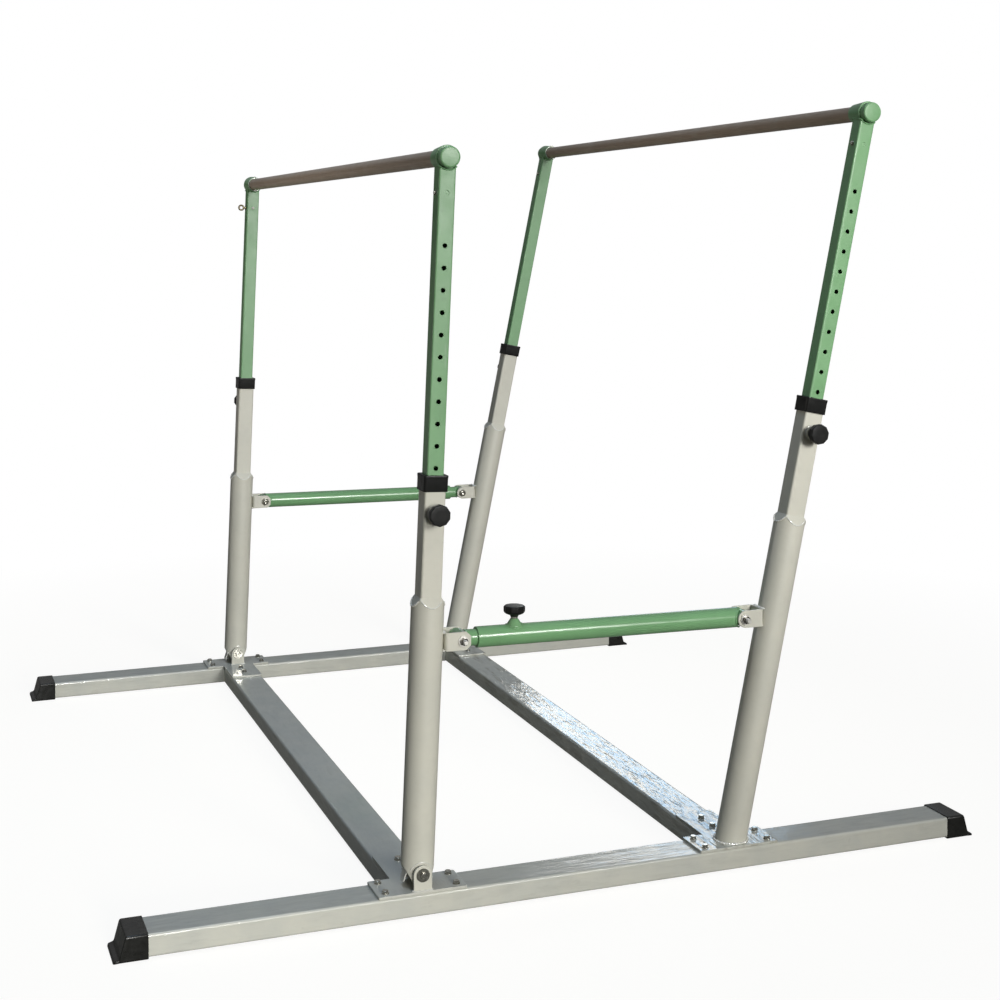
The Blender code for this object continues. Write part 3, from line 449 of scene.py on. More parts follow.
evenWave = {"scale": 55, "strength": 0.10, "height": 0.0006, "stretch": (1, 1, 1), "paintedShade": 0.05}
greyCoat = {"base": (0.61, 0.61, 0.54), "cloud": (0.55, 0.56, 0.51), "dirt": (0.32, 0.32, 0.28),
            "grime": 0.30, "bareAndGlare": (0.34, 0.34, 0.32), "scratch": 0.25}
greenCoat = {"dirt": (0.12, 0.20, 0.12), "grime": 0.30, "bareAndGlare": (0.36, 0.46, 0.36), "scratch": 0.35,
             "wave": evenWave}
finishSettings = {
    paintFinish: {
        "greyPaint": {"base": (0.625, 0.615, 0.53), "cloud": (0.585, 0.58, 0.505), "dirt": (0.36, 0.35, 0.29),
                      "grime": 0.22, "bareAndGlare": (0.34, 0.34, 0.32), "scratch": 0.25, "streak": (1.0, 1.0, 0.06),
                      "rough": (0.30, 0.46), "wave": evenWave},
        "beamPaint": {**greyCoat, "streak": (1.0, 0.06, 1.0), "rough": (0.05, 0.15),
                      "wave": {"scale": 62, "strength": 0.6, "height": 0.0024, "stretch": (1, 0.20, 1),
                               "paintedShade": 0.10}},
        # the right beam and right plates: glossy and wavy, with pale bluish streaks that are painted glare
        # and a strong wave darkening that is painted shade
        "filmPaint": {"base": (0.60, 0.60, 0.53), "cloud": (0.52, 0.53, 0.48), "dirt": (0.26, 0.24, 0.18),
                      "grime": 0.35, "bareAndGlare": (0.70, 0.72, 0.74), "scratch": 0.6, "streak": (1.0, 0.10, 1.0),
                      "rough": (0.04, 0.13),
                      "wave": {"scale": 46, "strength": 0.85, "height": 0.0029, "stretch": (1, 0.20, 1),
                               "paintedShade": 0.5}},
        "railPaint": {**greyCoat, "streak": (0.06, 1.0, 1.0), "rough": (0.09, 0.22),
                      "wave": {"scale": 62, "strength": 0.6, "height": 0.0020, "stretch": (0.20, 1, 1),
                               "paintedShade": 0.14}},
        # a grey lighter than the coat: a painted highlight for the glints on the welds, and for the pale
        # hinge tongue, lips, screw head and sleeve mouth
        "weldPaint": {"ior": 2.3, "base": (0.76, 0.76, 0.70), "cloud": (0.66, 0.665, 0.61),
                      "dirt": (0.30, 0.29, 0.24), "grime": 0.35, "bareAndGlare": (0.34, 0.34, 0.32), "scratch": 0.1,
                      "streak": (1.0, 1.0, 0.3), "rough": (0.08, 0.20),
                      "wave": {"scale": 300, "strength": 0.4, "height": 0.0008, "stretch": (1, 1, 1),
                               "paintedShade": 0.1}},
        "greenPaint": {**greenCoat, "base": (0.190, 0.395, 0.185), "cloud": (0.172, 0.360, 0.168),
                       "streak": (1.0, 1.0, 0.06), "rough": (0.29, 0.43)},
        "crossPaint": {**greenCoat, "base": (0.185, 0.385, 0.180), "cloud": (0.165, 0.350, 0.160),
                       "streak": (0.06, 1.0, 1.0), "rough": (0.13, 0.24)},
    },
    metalFinish: {
        "zinc": {"base": (0.50, 0.49, 0.44), "cloud": (0.34, 0.33, 0.29), "dirt": (0.10, 0.09, 0.07),
                 "specks": 0.7, "rough": (0.12, 0.26)},
        # two plated steels painted lighter and darker than the zinc: the bracket bolts' washers and thread
        # ends carry a painted highlight, their nuts a painted shade
        "dullSteel": {"base": (0.74, 0.73, 0.69), "cloud": (0.60, 0.59, 0.55), "dirt": (0.20, 0.19, 0.16),
                      "specks": 0.5, "rough": (0.36, 0.50)},
        "darkSteel": {"base": (0.17, 0.165, 0.15), "cloud": (0.11, 0.105, 0.095), "dirt": (0.05, 0.045, 0.04),
                      "specks": 0.6, "rough": (0.16, 0.30)},
        "brass": {"base": (0.17, 0.14, 0.08), "cloud": (0.11, 0.09, 0.05), "dirt": (0.16, 0.12, 0.06),
                  "specks": 0.5, "rough": (0.22, 0.36)},
    },
    mouldedFinish: {
        "blackRubber": {"base": (0.007, 0.0072, 0.006), "worn": (0.011, 0.0115, 0.010), "dust": 0.06,
                        "dustTone": (0.05, 0.05, 0.045), "rough": (0.24, 0.40), "grain": 900,
                        "grainDepth": 0.20, "shine": 0.36},
        "blackPlastic": {"base": (0.008, 0.0083, 0.008), "worn": (0.012, 0.0123, 0.0115), "dust": 0.04,
                         "dustTone": (0.05, 0.05, 0.045), "rough": (0.30, 0.44), "grain": 1400,
                         "grainDepth": 0.10, "shine": 0.22},
    },
    barFinish: {
        "brownBar": {"base": (0.34, 0.26, 0.195), "light": (0.40, 0.31, 0.235),
                     "chalkTone": (0.46, 0.42, 0.37), "chalk": 0.25, "rough": (0.34, 0.52)},
    },
}
finishes = {}
for coat, kinds in finishSettings.items():
    for name, settings in kinds.items():
        finishes[name], tree, shader, place = startFinish(name)
        coat(tree, shader, place, settings)
print("finishes ready:", ", ".join(finishes))


floorTube = {"width": 100, "height": 50, "corner": 6, "wall": 2.5, "middle": 29, "railHalf": 1040,
             "beamHalf": 999.7}


def boxTube(node, half, x, y, axes, paint):
    # a rounded rectangle drawn straight, out along the outside and back along the bore
    t = floorTube
    outer = roundBox(t["width"], t["height"], t["corner"], 8)
    inner = roundBox(t["width"] - 2 * t["wall"], t["height"] - 2 * t["wall"], t["corner"] - t["wall"], 8)
    rings = [atHeight(outer, -half), atHeight(outer, half), atHeight(inner, half), atHeight(inner, -half)]
    middle = np.array([x, y, t["middle"]], float)
    makePiece(node, [skin(rings, paint, loop=True)], (middle, np.array(axes, float)))


capShape = {"at": 1000, "top": 56.6, "half": 52.6, "length": 48, "slopeFoot": 61, "slopeLow": 10, "tip": 74.5,
            "tipHeight": 6, "toe": 1.2, "toeRound": 5.0, "corner": 5, "grip": 40.3, "pocketWidth": 100.6,
            "pocketHeight": 50.6, "mouthLip": 1.2}


def railCap(node, end, side):
    # sections across the rail: their height follows the side view, flat, down the steep end, out over the toe
    c = capShape

    def section(outline, x, middle):
        # an outline standing across the rail, round a middle height
        return pointsOf(x, outline[:, 0], outline[:, 1] + middle)

    view = soften([(c["mouthLip"], c["top"]), (c["length"], c["top"]), (c["slopeFoot"], c["slopeLow"]),
                   (c["tip"] - 1.5, c["tipHeight"]), (c["tip"], c["toe"])], [1, 4.5, 5, 2.5, 1], 6)
    rings = []
    for x, high in view:
        over = max(0.0, x - (c["tip"] - c["toeRound"]))
        half = c["half"] - c["toeRound"] + math.sqrt(max(c["toeRound"] ** 2 - over ** 2, 0.05))
        rings.append(section(roundBox(2 * half, high, min(c["corner"], high * 0.45), 6), x, high / 2))
    first = roundBox(2 * c["half"], c["top"], c["corner"], 6)
    lips = [section(inset(first, amount), x, c["top"] / 2) for x, amount in ((0.0, 1.0), (0.35, 0.35))]
    pocket = roundBox(c["pocketWidth"], c["pocketHeight"], 6, 6)
    bore = [section(pocket, x, floorTube["middle"]) for x in (c["grip"], 0.0)]
    shell = skin(bore + lips + rings, "blackRubber")
    makePiece(node, [shell], levelSpot(end * c["at"], side * railY, 0, end, side))


plateShape = {"half": 104, "edge": 50, "reach": 200, "corner": 4, "low": 54.3, "boltX": 84, "boltY": 31,
              "stem": (92, 153)}


def teePlate(paint):
    # the outline of the T seen from above; its stem points into the lane (minus the outboard axis)
    p = plateShape
    half, edge, reach = p["half"], p["edge"], p["reach"]
    corners = [(-half, edge), (-half, -edge), (-edge, -edge), (-edge, -reach), (edge, -reach), (edge, -edge),
               (half, -edge), (half, edge)]
    return slab(soften(corners, p["corner"], 5, closed=True), p["low"], plateTop, paint, 0.8, hub=(0, 0))


boltShape = {"flats": 13, "head": 6.2, "washer": 8.6, "washerThick": 1.5, "shank": 4, "shankEnd": 46,
             "strip": 10, "stripLow": 47.2, "stripHigh": 51.2}


def plateBolts(node, places, spot, turnBy):
    # hex heads on washers above the plate, their shanks and the tapped strip inside the tube
    b = boltShape
    shells = []
    low = plateTop + 0.2
    under = low + b["washerThick"]
    for k, (x, y) in enumerate(places):
        at = (x, y, 0)
        shells.append(washer(b["washer"], b["shank"], low, under, "zinc", at=at))
        shells.append(hexagon(b["flats"], under, under + b["head"], "zinc", at=at, turnBy=turnBy + k))
        shells.append(turned([(b["shank"], b["shankEnd"]), (b["shank"], under + 1)], "zinc", 16, at=at))
    near, far = sorted(y for _, y in places)
    w = b["strip"]
    strip = soften([(-w, near - w), (w, near - w), (w, far + w), (-w, far + w)], 2, 4, closed=True)
    shells.append(turnedTo(slab(strip, b["stripLow"], b["stripHigh"], "zinc", 0.5), by=(places[0][0], 0, 0)))
    makePiece(node, shells, spot)


earShape = {"half": 21.5, "inner": 40, "thick": 5.5, "pinHeight": 96, "archFrom": -4, "weld": 2.3,
            "weldUp": 0.4, "endWeld": 3.0, "endWeldUp": 0.8, "weldOut": 0.6, "weldPast": 1.5}


def earOutline():
    # straight sides under a half circle about the pin
    e = earShape
    foot = plateTop - e["pinHeight"] - 0.5
    left = pointsOf(-e["half"], np.linspace(e["archFrom"], foot, 4))
    return np.concatenate([arc(e["half"], np.linspace(0, math.pi, 29)), left, left[::-1] * [-1, 1]])


def leftFoot(node, side):
    # the T plate, two arched ears standing on it, and the welds at their feet
    e = earShape
    outer = e["inner"] + e["thick"]
    shells = [teePlate(posts["left"]["skin"])]
    for sign in (-1, 1):
        ear = slab(earOutline(), *sorted((sign * e["inner"], sign * outer)), "greyPaint", 0.7, hub=(0, 0))
        shells.append(turnedTo(ear, [(1, 0, 0), (0, 0, 1), (0, 1, 0)], (0, 0, e["pinHeight"])))
        for face in (e["inner"] - e["weldOut"], outer + e["weldOut"]):
            x = np.linspace(-e["half"] - e["weldPast"], e["half"] + e["weldPast"], 70)
            shells.append(bead(pointsOf(x, sign * face, plateTop + e["weldUp"]), e["weld"], (0, 0, 1)))
        for x in (-e["half"] - e["weldOut"], e["half"] + e["weldOut"]):
            y = np.linspace(sign * (e["inner"] - 1), sign * (outer + 1), 16)
            shells.append(bead(pointsOf(x, y, plateTop + e["endWeldUp"]), e["endWeld"], (0, 0, 1)))
    makePiece(node, shells, plateSpot(posts["left"], side))


# the bolts across two ears; the seat is the distance from the middle to an ear's outer face
hingeBolt = {"seat": 45.5, "washer": 15.5, "flats": 13, "nut": 5.0, "shank": 6.0, "tail": 1.2, "head": None}
bracketBolt = {"seat": 29.2, "washer": 12.6, "flats": 16, "nut": 9.5, "shank": 6.0, "tail": 9.5,
               "head": [(11.4, 0), (11.4, 1.4), (9.6, 5.0), (6.0, 7.0), (4.4, 7.0), (3.9, 3.2), (2.0, 2.6)]}
washerThick = 2.2
threadPitch = 1.25


def throughBolt(node, spot, b):
    # washers, a nut with the thread standing out of it, and a socket head or a second nut
    seat, shank, flats, nut = b["seat"], b["shank"], b["flats"], b["nut"]
    # the bracket bolts: washer and thread end lighter as a painted highlight, nut darker as a painted shade
    nutPaint, washerPaint = ("darkSteel", "dullSteel") if b["head"] else ("zinc", "zinc")
    out = seat + 0.3
    top = out + washerThick
    end = top + nut
    shells = [turned([(shank, -seat - 1.5), (shank, seat + nut + 1)], "zinc", 32, axis=1),
              washer(b["washer"], shank + 0.3, out, top, washerPaint, axis=1),
              hexagon(flats, top, end, nutPaint, axis=1, turnBy=0.3)]
    thread = [(shank - 0.1, end - 2)]
    for k in range(int(b["tail"] / threadPitch)):
        thread += [(shank - 0.1, end + k * threadPitch + 0.1), (shank - 0.75, end + k * threadPitch + 0.7)]
    thread += [(shank - 0.2, end + b["tail"] - 1.2), (shank - 1.4, end + b["tail"]),
               (shank - 2.4, end + b["tail"])]
    shells.append(turned(thread, washerPaint, 32, axis=1))
    shells.append(washer(b["washer"], shank + 0.3, -top, -out, "zinc", axis=1))
    if b["head"]:
        head = soften([(radius, -top - height) for radius, height in b["head"]], 0.8, 4)
        shells.append(turned(head, "zinc", 48, axis=1))
    else:
        second = hexagon(flats, top, top + nut * 0.8, "zinc", axis=1, turnBy=0.8)
        shells.append(turnedTo(second, np.diag([1, -1, 1])))
    makePiece(node, shells, spot, sharp=30)


postShape = {"round": 38, "roundWall": 3, "square": 50, "squareWall": 2.5, "corner": 5, "drop": 22,
             "collarHole": 10, "collarUnder": 15, "pinHole": 12, "barOverHole": 198, "shoulderWeld": 1.9,
             "shoulderHalf": 24, "footWeld": 3.2, "footWeldRound": 39.4, "footWeldUp": 1.2}


def holeHeight(post, side, count):
    # a hole of the upright counted down from the top one; a taller post's fittings stand a hole higher
    return post["topHole"] - (count - post["taller"][side]) * holePitch


def collarTop(post, side):
    # the collar's upper face
    return holeHeight(post, side, postShape["collarHole"]) - postShape["collarUnder"]


def pinHeight(post, side):
    # the hole that the knob's pin locks
    return holeHeight(post, side, postShape["pinHole"])


def barHeight(post):
    # the bar's axis
    return post["topHole"] + postShape["barOverHole"]


def squareReach(turn, half, corner):
    # distance from the middle to a rounded square's edge, in a given direction
    c, s = np.abs(np.cos(turn)), np.abs(np.sin(turn))
    straight = half / np.maximum(c, s)
    inner = half - corner
    along = inner * (c + s)
    onCorner = along + np.sqrt(np.maximum(corner ** 2 - (inner ** 2 * 2 - along ** 2), 0))
    return np.where(np.minimum(c, s) * straight > inner, onCorner, straight)


def lower(a, b, blend):
    # the smaller of two lengths, with the corner between them rounded over the blend length
    mix = np.clip(0.5 + 0.5 * (b - a) / blend, 0, 1)
    return b + (a - b) * mix - blend * mix * (1 - mix)


def postTube(post, side, bottom):
    # the distance from the axis by height and direction: a circle, cut by four slopes, then a rounded square
    p = postShape
    outline = roundBox(p["square"], p["square"], p["corner"], 8, 12)
    turn = np.arctan2(outline[:, 1], outline[:, 0])
    foot = bottom(turn)[None, :]
    shoulder = post["shoulder"]
    bend = shoulder - p["drop"]
    slope = (p["round"] - p["square"] / 2) / p["drop"]
    heights = np.concatenate([np.linspace(0, bend - 4, 12), np.arange(bend - 3, shoulder + 2, 0.5),
                              np.linspace(shoulder + 3, collarTop(post, side) - 5.3, 12)])
    first = heights[1]
    rows = []
    for inside in (False, True):
        high = heights[::-1] if inside else heights
        half = p["square"] / 2 + slope * np.clip(shoulder - high, 0, p["drop"] + 6)
        square = np.stack([squareReach(turn, h, p["corner"]) for h in half])
        reach = lower(np.full_like(square, p["round"]), square, 1.0)
        if inside:
            reach -= np.where(high > shoulder, p["squareWall"], p["roundWall"])[:, None]
        z = np.repeat(high[:, None], len(turn), axis=1)
        z = np.where(z < first, foot + (first - foot) * (z / first), z)
        rows.append(np.stack([reach * np.cos(turn), reach * np.sin(turn), z], axis=2))
    return skin(np.concatenate(rows), "greyPaint", loop=True)


bossShape = {"ring": [(16, 24.4), (16, 32.2), (15.2, 33), (13.9, 33), (13.4, 32.5), (13.4, 24.4)],
             "weldRound": 16.6, "weldAt": 25.4, "weld": 1.9}


def knobBoss(post, side):
    # the raised ring round a knob's pin, with the weld at its root
    b = bossShape
    up = pinHeight(post, side)
    return [turned(b["ring"], "greyPaint", 56, axis=1, at=(0, 0, up), ring=True),
            bead(hoop(b["weldRound"], b["weldAt"], up, 90), b["weld"], (0, 1, 0), closed=True)]


bracketShape = {"inner": 24.7, "thick": 4.5, "half": 21, "nose": 18.5, "bend": 5.0, "cut": 10.5, "edge": 0.6,
                "weld": 3.6, "weldUp": 20.5, "weldHalf": 25}


def bracket(post):
    # a strip bent to a U and seen from above as a path; its height falls at the two noses, cut straight
    # on the left posts and round on the right ones
    b = bracketShape
    middle = b["inner"] + b["thick"] / 2
    back = -post["webBack"] + b["thick"] / 2
    roundFrom = b["nose"] - b["half"]
    fine = b["nose"] - b["half"] * (1 - np.cos(np.linspace(0.02, math.pi / 2, 26)))
    ear = pointsOf(np.concatenate([fine, np.linspace(roundFrom - 1, back + b["bend"] + 1, 5)]), middle)
    turn = np.linspace(0, math.pi / 2, 8)
    bend = pointsOf(back + b["bend"] * (1 - np.sin(turn)), middle - b["bend"] * (1 - np.cos(turn)))
    web = pointsOf(back, np.linspace(middle - b["bend"] - 1, 2, 3))
    part = np.concatenate([ear, bend, web])
    path = np.concatenate([part, part[::-1] * [1, -1]])
    if post["towards"] > 0:
        height = np.minimum(b["half"], b["half"] - (path[:, 0] - (b["nose"] - b["cut"])))
    else:
        over = np.clip(path[:, 0] - roundFrom, 0, b["half"] - 0.01)
        height = np.sqrt(b["half"] ** 2 - over ** 2)
    along = np.gradient(path, axis=0)
    along /= np.linalg.norm(along, axis=1, keepdims=True)
    across = np.column_stack([along[:, 1], -along[:, 0]])
    rings = []
    for point, sideways, h in zip(path, across, np.maximum(height, 1.2)):
        section = roundBox(b["thick"], 2 * h, min(b["edge"], h * 0.5), 3)
        rings.append(np.column_stack([point + sideways * section[:, :1], section[:, 1]]))
    return skin(rings, "greyPaint")


def bracketWelds(post):
    # runs along the top and bottom of the web, nearer the post beside its middle, where the round bulges
    b = bracketShape
    y = np.linspace(-b["weldHalf"], b["weldHalf"], 90)
    bulge = postShape["round"] - np.sqrt(postShape["round"] ** 2 - y ** 2)
    shells = []
    for z in (-b["weldUp"], b["weldUp"]):
        lean = math.tan(math.radians(post["lean"])) * z * post["towards"]
        x = -post["webBack"] + 1.0 - bulge * 0.42 + lean * 0.5
        shells.append(bead(pointsOf(x, y, z), b["weld"], (0, 0, 1)))
    return shells


def shoulderWelds(post):
    # on each side a bead along the U where the slope leaves the round, the height falling as the round bulges
    p = postShape
    x = np.linspace(-p["shoulderHalf"], p["shoulderHalf"], 60)
    bulge = np.sqrt(p["round"] ** 2 - x ** 2)
    fall = (bulge - p["square"] / 2) / (p["round"] - p["square"] / 2) * p["drop"]
    run = pointsOf(x, -bulge + 0.1, post["shoulder"] - fall)
    shells = []
    for quarter in range(4):
        c, s = math.cos(quarter * math.pi / 2), math.sin(quarter * math.pi / 2)
        spin = np.array([[c, s, 0], [-s, c, 0], [0, 0, 1]])
        shells.append(bead(run @ spin, p["shoulderWeld"], (0, -1, 0) @ spin, flat=0.9))
    return shells


hingeEnd = {"low": -28, "high": 13.5, "cutFrom": 14, "slope": 1.73}


def coveredFoot(turn):
    # the hinge end: low where the ears hold it, cut away upwards on the two sides that swing over the plate
    h = hingeEnd
    x = np.abs(np.cos(turn)) * postShape["round"]
    return np.clip(h["low"] + (x - h["cutFrom"]) * h["slope"], h["low"], h["high"])


rimShape = {"round": 25.6, "from": 14, "to": 166, "bead": 1.3}
tongueShape = {"half": 13, "drop": 30, "thick": 3, "lean": 17, "out": -28, "up": 3}


def hingeRims():
    # the lip pressed round each ear's arch, and the tongue that hangs between the ears on the side away
    # from the lane's middle; both are in the pale paint, a painted highlight for their bright faces
    r, t = rimShape, tongueShape
    turn = np.linspace(math.radians(r["from"]), math.radians(r["to"]), 70)
    x, z = r["round"] * np.cos(turn), r["round"] * np.sin(turn)
    shells = []
    for sign in (-1, 1):
        y = sign * (np.sqrt(postShape["round"] ** 2 - x ** 2) + 0.2)
        shells.append(bead(pointsOf(x, y, z), r["bead"], (0, sign, 0)))
    corners = [(-t["half"], 0), (-t["half"], -t["drop"]), (t["half"], -t["drop"]), (t["half"], 0)]
    tongue = slab(soften(corners, [1, 9, 9, 1], 8, closed=True), 0, t["thick"], "weldPaint", 0.8,
                  hub=(0, -t["drop"] / 2))
    c, s = math.cos(math.radians(t["lean"])), math.sin(math.radians(t["lean"]))
    shells.append(turnedTo(tongue, [(0, 1, 0), (s, 0, c), (c, 0, -s)], (t["out"], 0, t["up"])))
    return shells


def buildPost(name, label, side):
    # the tube with its foot, then its boss, shoulder and bracket with their welds
    post, p = posts[name], postShape
    place, base, level = postSpot(post, side), plateSpot(post, side), bracketSpot(post, side)
    if name == "left":
        shells = [postTube(post, side, coveredFoot)] + hingeRims()
    else:
        lean = math.radians(post["lean"])
        c, t = math.cos(lean), math.tan(lean)

        def onPlate(turn):
            # the cut that lets the leaning tube stand flat on its plate
            return (plateTop - 1 - post["z"]) / c + p["round"] * np.cos(turn) * t

        ring = arc(p["footWeldRound"], wholeTurn(150))
        run = pointsOf(ring[:, 0] / c + (plateTop - post["z"]) * t, ring[:, 1], plateTop + p["footWeldUp"])
        shells = [postTube(post, side, onPlate), inPost(teePlate(post["skin"]), base, place),
                  inPost(bead(run, p["footWeld"], (0, 0, 1), closed=True), base, place)]
    shells += knobBoss(post, side) + shoulderWelds(post)
    shells += [inPost(shell, level, place) for shell in [bracket(post)] + bracketWelds(post)]
    makePiece(name + "_" + label + "_post", shells, place, sharp=32)


collarShape = {"width": 57.5, "height": 37, "lip": 5, "flare": 0.7, "corner": 6, "snug": 40.6,
               "snugCorner": 3.5, "wide": 50.6, "wideCorner": 5}


def collar(name, label, side):
    # a square sleeve whose rim flares, with a soft top edge and a snug mouth
    post, c = posts[name], collarShape
    top, flare = collarTop(post, side), c["flare"]
    low = top - c["height"]
    rows = [(0.8, low), (0.25, low + 0.25), (0.0, low + 0.9), (0.0, top - 9.0), (-flare * 0.5, top - 6.5),
            (-flare, top - 4.0), (-flare, top - 1.4), (-flare + 0.4, top - 0.4), (-flare + 1.4, top),
            (6.6, top)]
    outer = stack(roundBox(c["width"], c["width"], c["corner"], 6), rows)
    snug = roundBox(c["snug"], c["snug"], c["snugCorner"], 6)
    wide = roundBox(c["wide"], c["wide"], c["wideCorner"], 6)
    bore = [(snug, top - 0.6), (snug, top - c["lip"]), (wide, top - c["lip"] - 0.1), (wide, low)]
    rings = np.concatenate([outer, [atHeight(*row) for row in bore]])
    makePiece(name + "_" + label + "_collar", [skin(rings, "blackPlastic", loop=True)], postSpot(post, side))


uprightShape = {"size": 40, "corner": 3.5, "wall": 2, "hole": 5.5, "holes": 14, "tail": 100, "patch": 16.5,
                "underBar": 27, "plugUnderBar": 80}


def joinShell(parts, paint):
    # patches laid edge to edge become one surface: points at the same place are made one
    points, quads = [], []
    total = 0
    for local, faces in parts:
        points.append(local)
        quads.append(faces + total)
        total += len(local)
    points, quads = np.concatenate(points), np.concatenate(quads)
    _, first, same = np.unique(np.round(points, 3), axis=0, return_index=True, return_inverse=True)
    quads = same.ravel()[quads]
    # a quad that has shrunk to a pole keeps three corners
    pole = quads[:, 2] == quads[:, 3]
    return points[first], quads[~pole], quads[pole][:, :3], paint


def sheetPatch(rows, flip=False):
    # an open grid of points as quads, turned over where the patch looks the other way
    grid = np.stack(rows)
    across = grid.shape[1]
    i, j = np.meshgrid(np.arange(len(grid) - 1), np.arange(across - 1), indexing="ij")
    here = (i * across + j).ravel()
    quads = np.stack([here, here + 1, here + across + 1, here + across], axis=1)
    return grid.reshape(-1, 3), quads[:, [1, 0, 3, 2]] if flip else quads


def holePatch(z, through=True):
    # a square of the face shrinking to the hole's circle, through the wall, and out to the square again
    # inside; the plug weld's dimple stops at a shallow floor instead
    u = uprightShape
    half = u["patch"]
    edges = [pointsOf(np.linspace(-half, half, 9)[:-1], -half)]
    for _ in range(3):
        edges.append(np.column_stack([-edges[-1][:, 1], edges[-1][:, 0]]))
    square = np.concatenate(edges)
    circle = arc(u["hole"], np.arctan2(square[:, 1], square[:, 0]))
    out = u["size"] / 2
    inside = out - u["wall"]
    rows = [(square, out), (square * 0.35 + circle * 1.12 * 0.65, out), (circle * 1.07, out),
            (circle, out - 0.35)]
    if through:
        rows += [(circle, inside), (circle * 1.3, inside), (square, inside)]
    else:
        rows += [(circle * 0.97, out - 1.1), (circle * 0.8, out - 1.3), (circle * 0.3, out - 0.9),
                 (circle * 0, out - 0.8)]
    rings = [pointsOf(flat[:, 0], y, flat[:, 1] + z) for flat, y in rows]
    return sheetPatch([np.concatenate([ring, ring[:1]]) for ring in rings], True)


def upright(name, label, side):
    # three plain sides and four round corners as one sheet, the drilled side as patches, and a bore
    # behind them all
    post, u = posts[name], uprightShape
    bar = barHeight(post)
    plug = bar - u["plugUnderBar"]
    bottom, top = post["topHole"] - (u["holes"] - 1) * holePitch - u["tail"], bar - u["underBar"]
    half, wall = u["patch"], u["wall"]
    holes = [post["topHole"] - i * holePitch for i in range(u["holes"])][::-1]
    steps = np.linspace(-half, half, 9)
    heights = np.concatenate([[bottom]] + [z + steps for z in holes + [plug]] + [[top]])
    # the drilled side is plain from one patch's upper edge to the next one's lower edge
    plain = [0] + [1 + 9 * k + m for k in range(len(holes) + 1) for m in (0, 8)] + [len(heights) - 1]
    parts, strips = [], []
    for depth in (0, wall):
        outside = depth == 0
        size = u["size"] - 2 * depth
        loop = roundBox(size, size, u["corner"] - depth, 6)
        start = int(np.argmax((np.abs(loop[:, 0] + half) < 0.01) & (loop[:, 1] > half)))
        loop = np.roll(loop, -start, axis=0)
        strip = loop[~((loop[:, 1] > size / 2 - 0.001) & (np.abs(loop[:, 0]) < half - 0.01))]
        parts.append(sheetPatch([atHeight(strip, z) for z in heights], not outside))
        for low, high in zip(plain[::2], plain[1::2]):
            parts.append(sheetPatch([pointsOf(steps, size / 2, heights[k]) for k in (low, high)], outside))
        strips.append((strip, size / 2))
    parts.append(sheetPatch([pointsOf(steps, u["size"] / 2 - wall, z) for z in plug + steps]))
    parts += [holePatch(z) for z in holes] + [holePatch(plug, through=False)]
    for z in (bottom, top):
        rims = [atHeight(np.concatenate([strip, pointsOf(steps[-2:0:-1], y)]), z) for strip, y in strips]
        parts.append(sheetPatch([np.concatenate([rim, rim[:1]]) for rim in rims], z == bottom))
    makePiece(name + "_" + label + "_upright", [joinShell(parts, "greenPaint")] + barSleeve(bar),
              postSpot(post, side), sharp=35)


sleeveShape = {"outboard": 15, "inboard": 40, "outer": 28.2, "inner": 24.0, "bore": 19.3, "rimWeld": 2.2,
               "mouthBead": 1.5, "screwAt": -30,
               "screw": [(3.2, 22.0), (3.2, 26.2), (2.6, 26.8), (1.6, 26.8), (1.5, 25.0)]}


def barSleeve(bar):
    # the tapered socket that holds the bar's end, welded over the top of the upright
    s = sleeveShape
    profile = soften([(s["bore"], s["outboard"]), (s["outer"], s["outboard"]), (s["inner"], -s["inboard"]),
                      (s["bore"], -s["inboard"])], [1.0, 2.6, 2.0, 1.0], 6, closed=True)
    shells = [turned(profile, "greenPaint", 72, axis=1, at=(0, 0, bar), ring=True)]
    # the upright's rim carried up to the underside of the sleeve
    outline = roundBox(uprightShape["size"], uprightShape["size"], uprightShape["corner"], 6, 16)
    taper = (s["outer"] - s["inner"]) / (s["outboard"] + s["inboard"])
    radius = s["outer"] - (s["outboard"] - outline[:, 1]) * taper
    meet = bar - np.sqrt(np.maximum(radius ** 2 - outline[:, 0] ** 2, 0)) + 1.5
    low = bar - uprightShape["underBar"]
    rings = [atHeight(outline, low), atHeight(outline, meet), atHeight(outline * 0.9, meet),
             atHeight(outline * 0.9, low)]
    shells.append(skin(rings, "greenPaint", loop=True))
    shells.append(bead(atHeight(outline * 1.02, meet - 1.6), s["rimWeld"], (0, 0, 1), "greenPaint",
                       closed=True))
    # a pale bead that closes the mouth round the bar; its pale paint is a painted highlight of the lit rim
    mouth = hoop((s["bore"] + s["inner"]) / 2, 0.4 - s["inboard"], bar, 72)
    shells.append(bead(mouth, s["mouthBead"], (0, 1, 0), closed=True))
    # the set screw near the sleeve's inboard end
    shells.append(turned(s["screw"], "zinc", 24, at=(0, s["screwAt"], bar)))
    return shells


sleeveCapShape = {"plug": 18.7, "plugEnd": 6.8, "from": 15.3, "to": 35, "radius": 24.5, "dome": 0.6}


def sleeveCap(name, label, side):
    # a plug in the sleeve's outboard end under a domed lid with a well-rounded edge
    post, c = posts[name], sleeveCapShape
    lid = soften([(c["radius"], c["from"]), (c["radius"], c["to"]), (0.5, c["to"] + c["dome"])],
                 [0.5, 5.0, 1], 8)
    profile = np.concatenate([[(c["plug"], c["plugEnd"]), (c["plug"], c["from"])], lid])
    makePiece(name + "_" + label + "_sleeve_cap",
              [turned(profile, "greenPaint", 64, axis=1, at=(0, 0, barHeight(post)))], postSpot(post, side))


barShape = {"radius": 19.0, "wall": 3.0, "half": 1055}


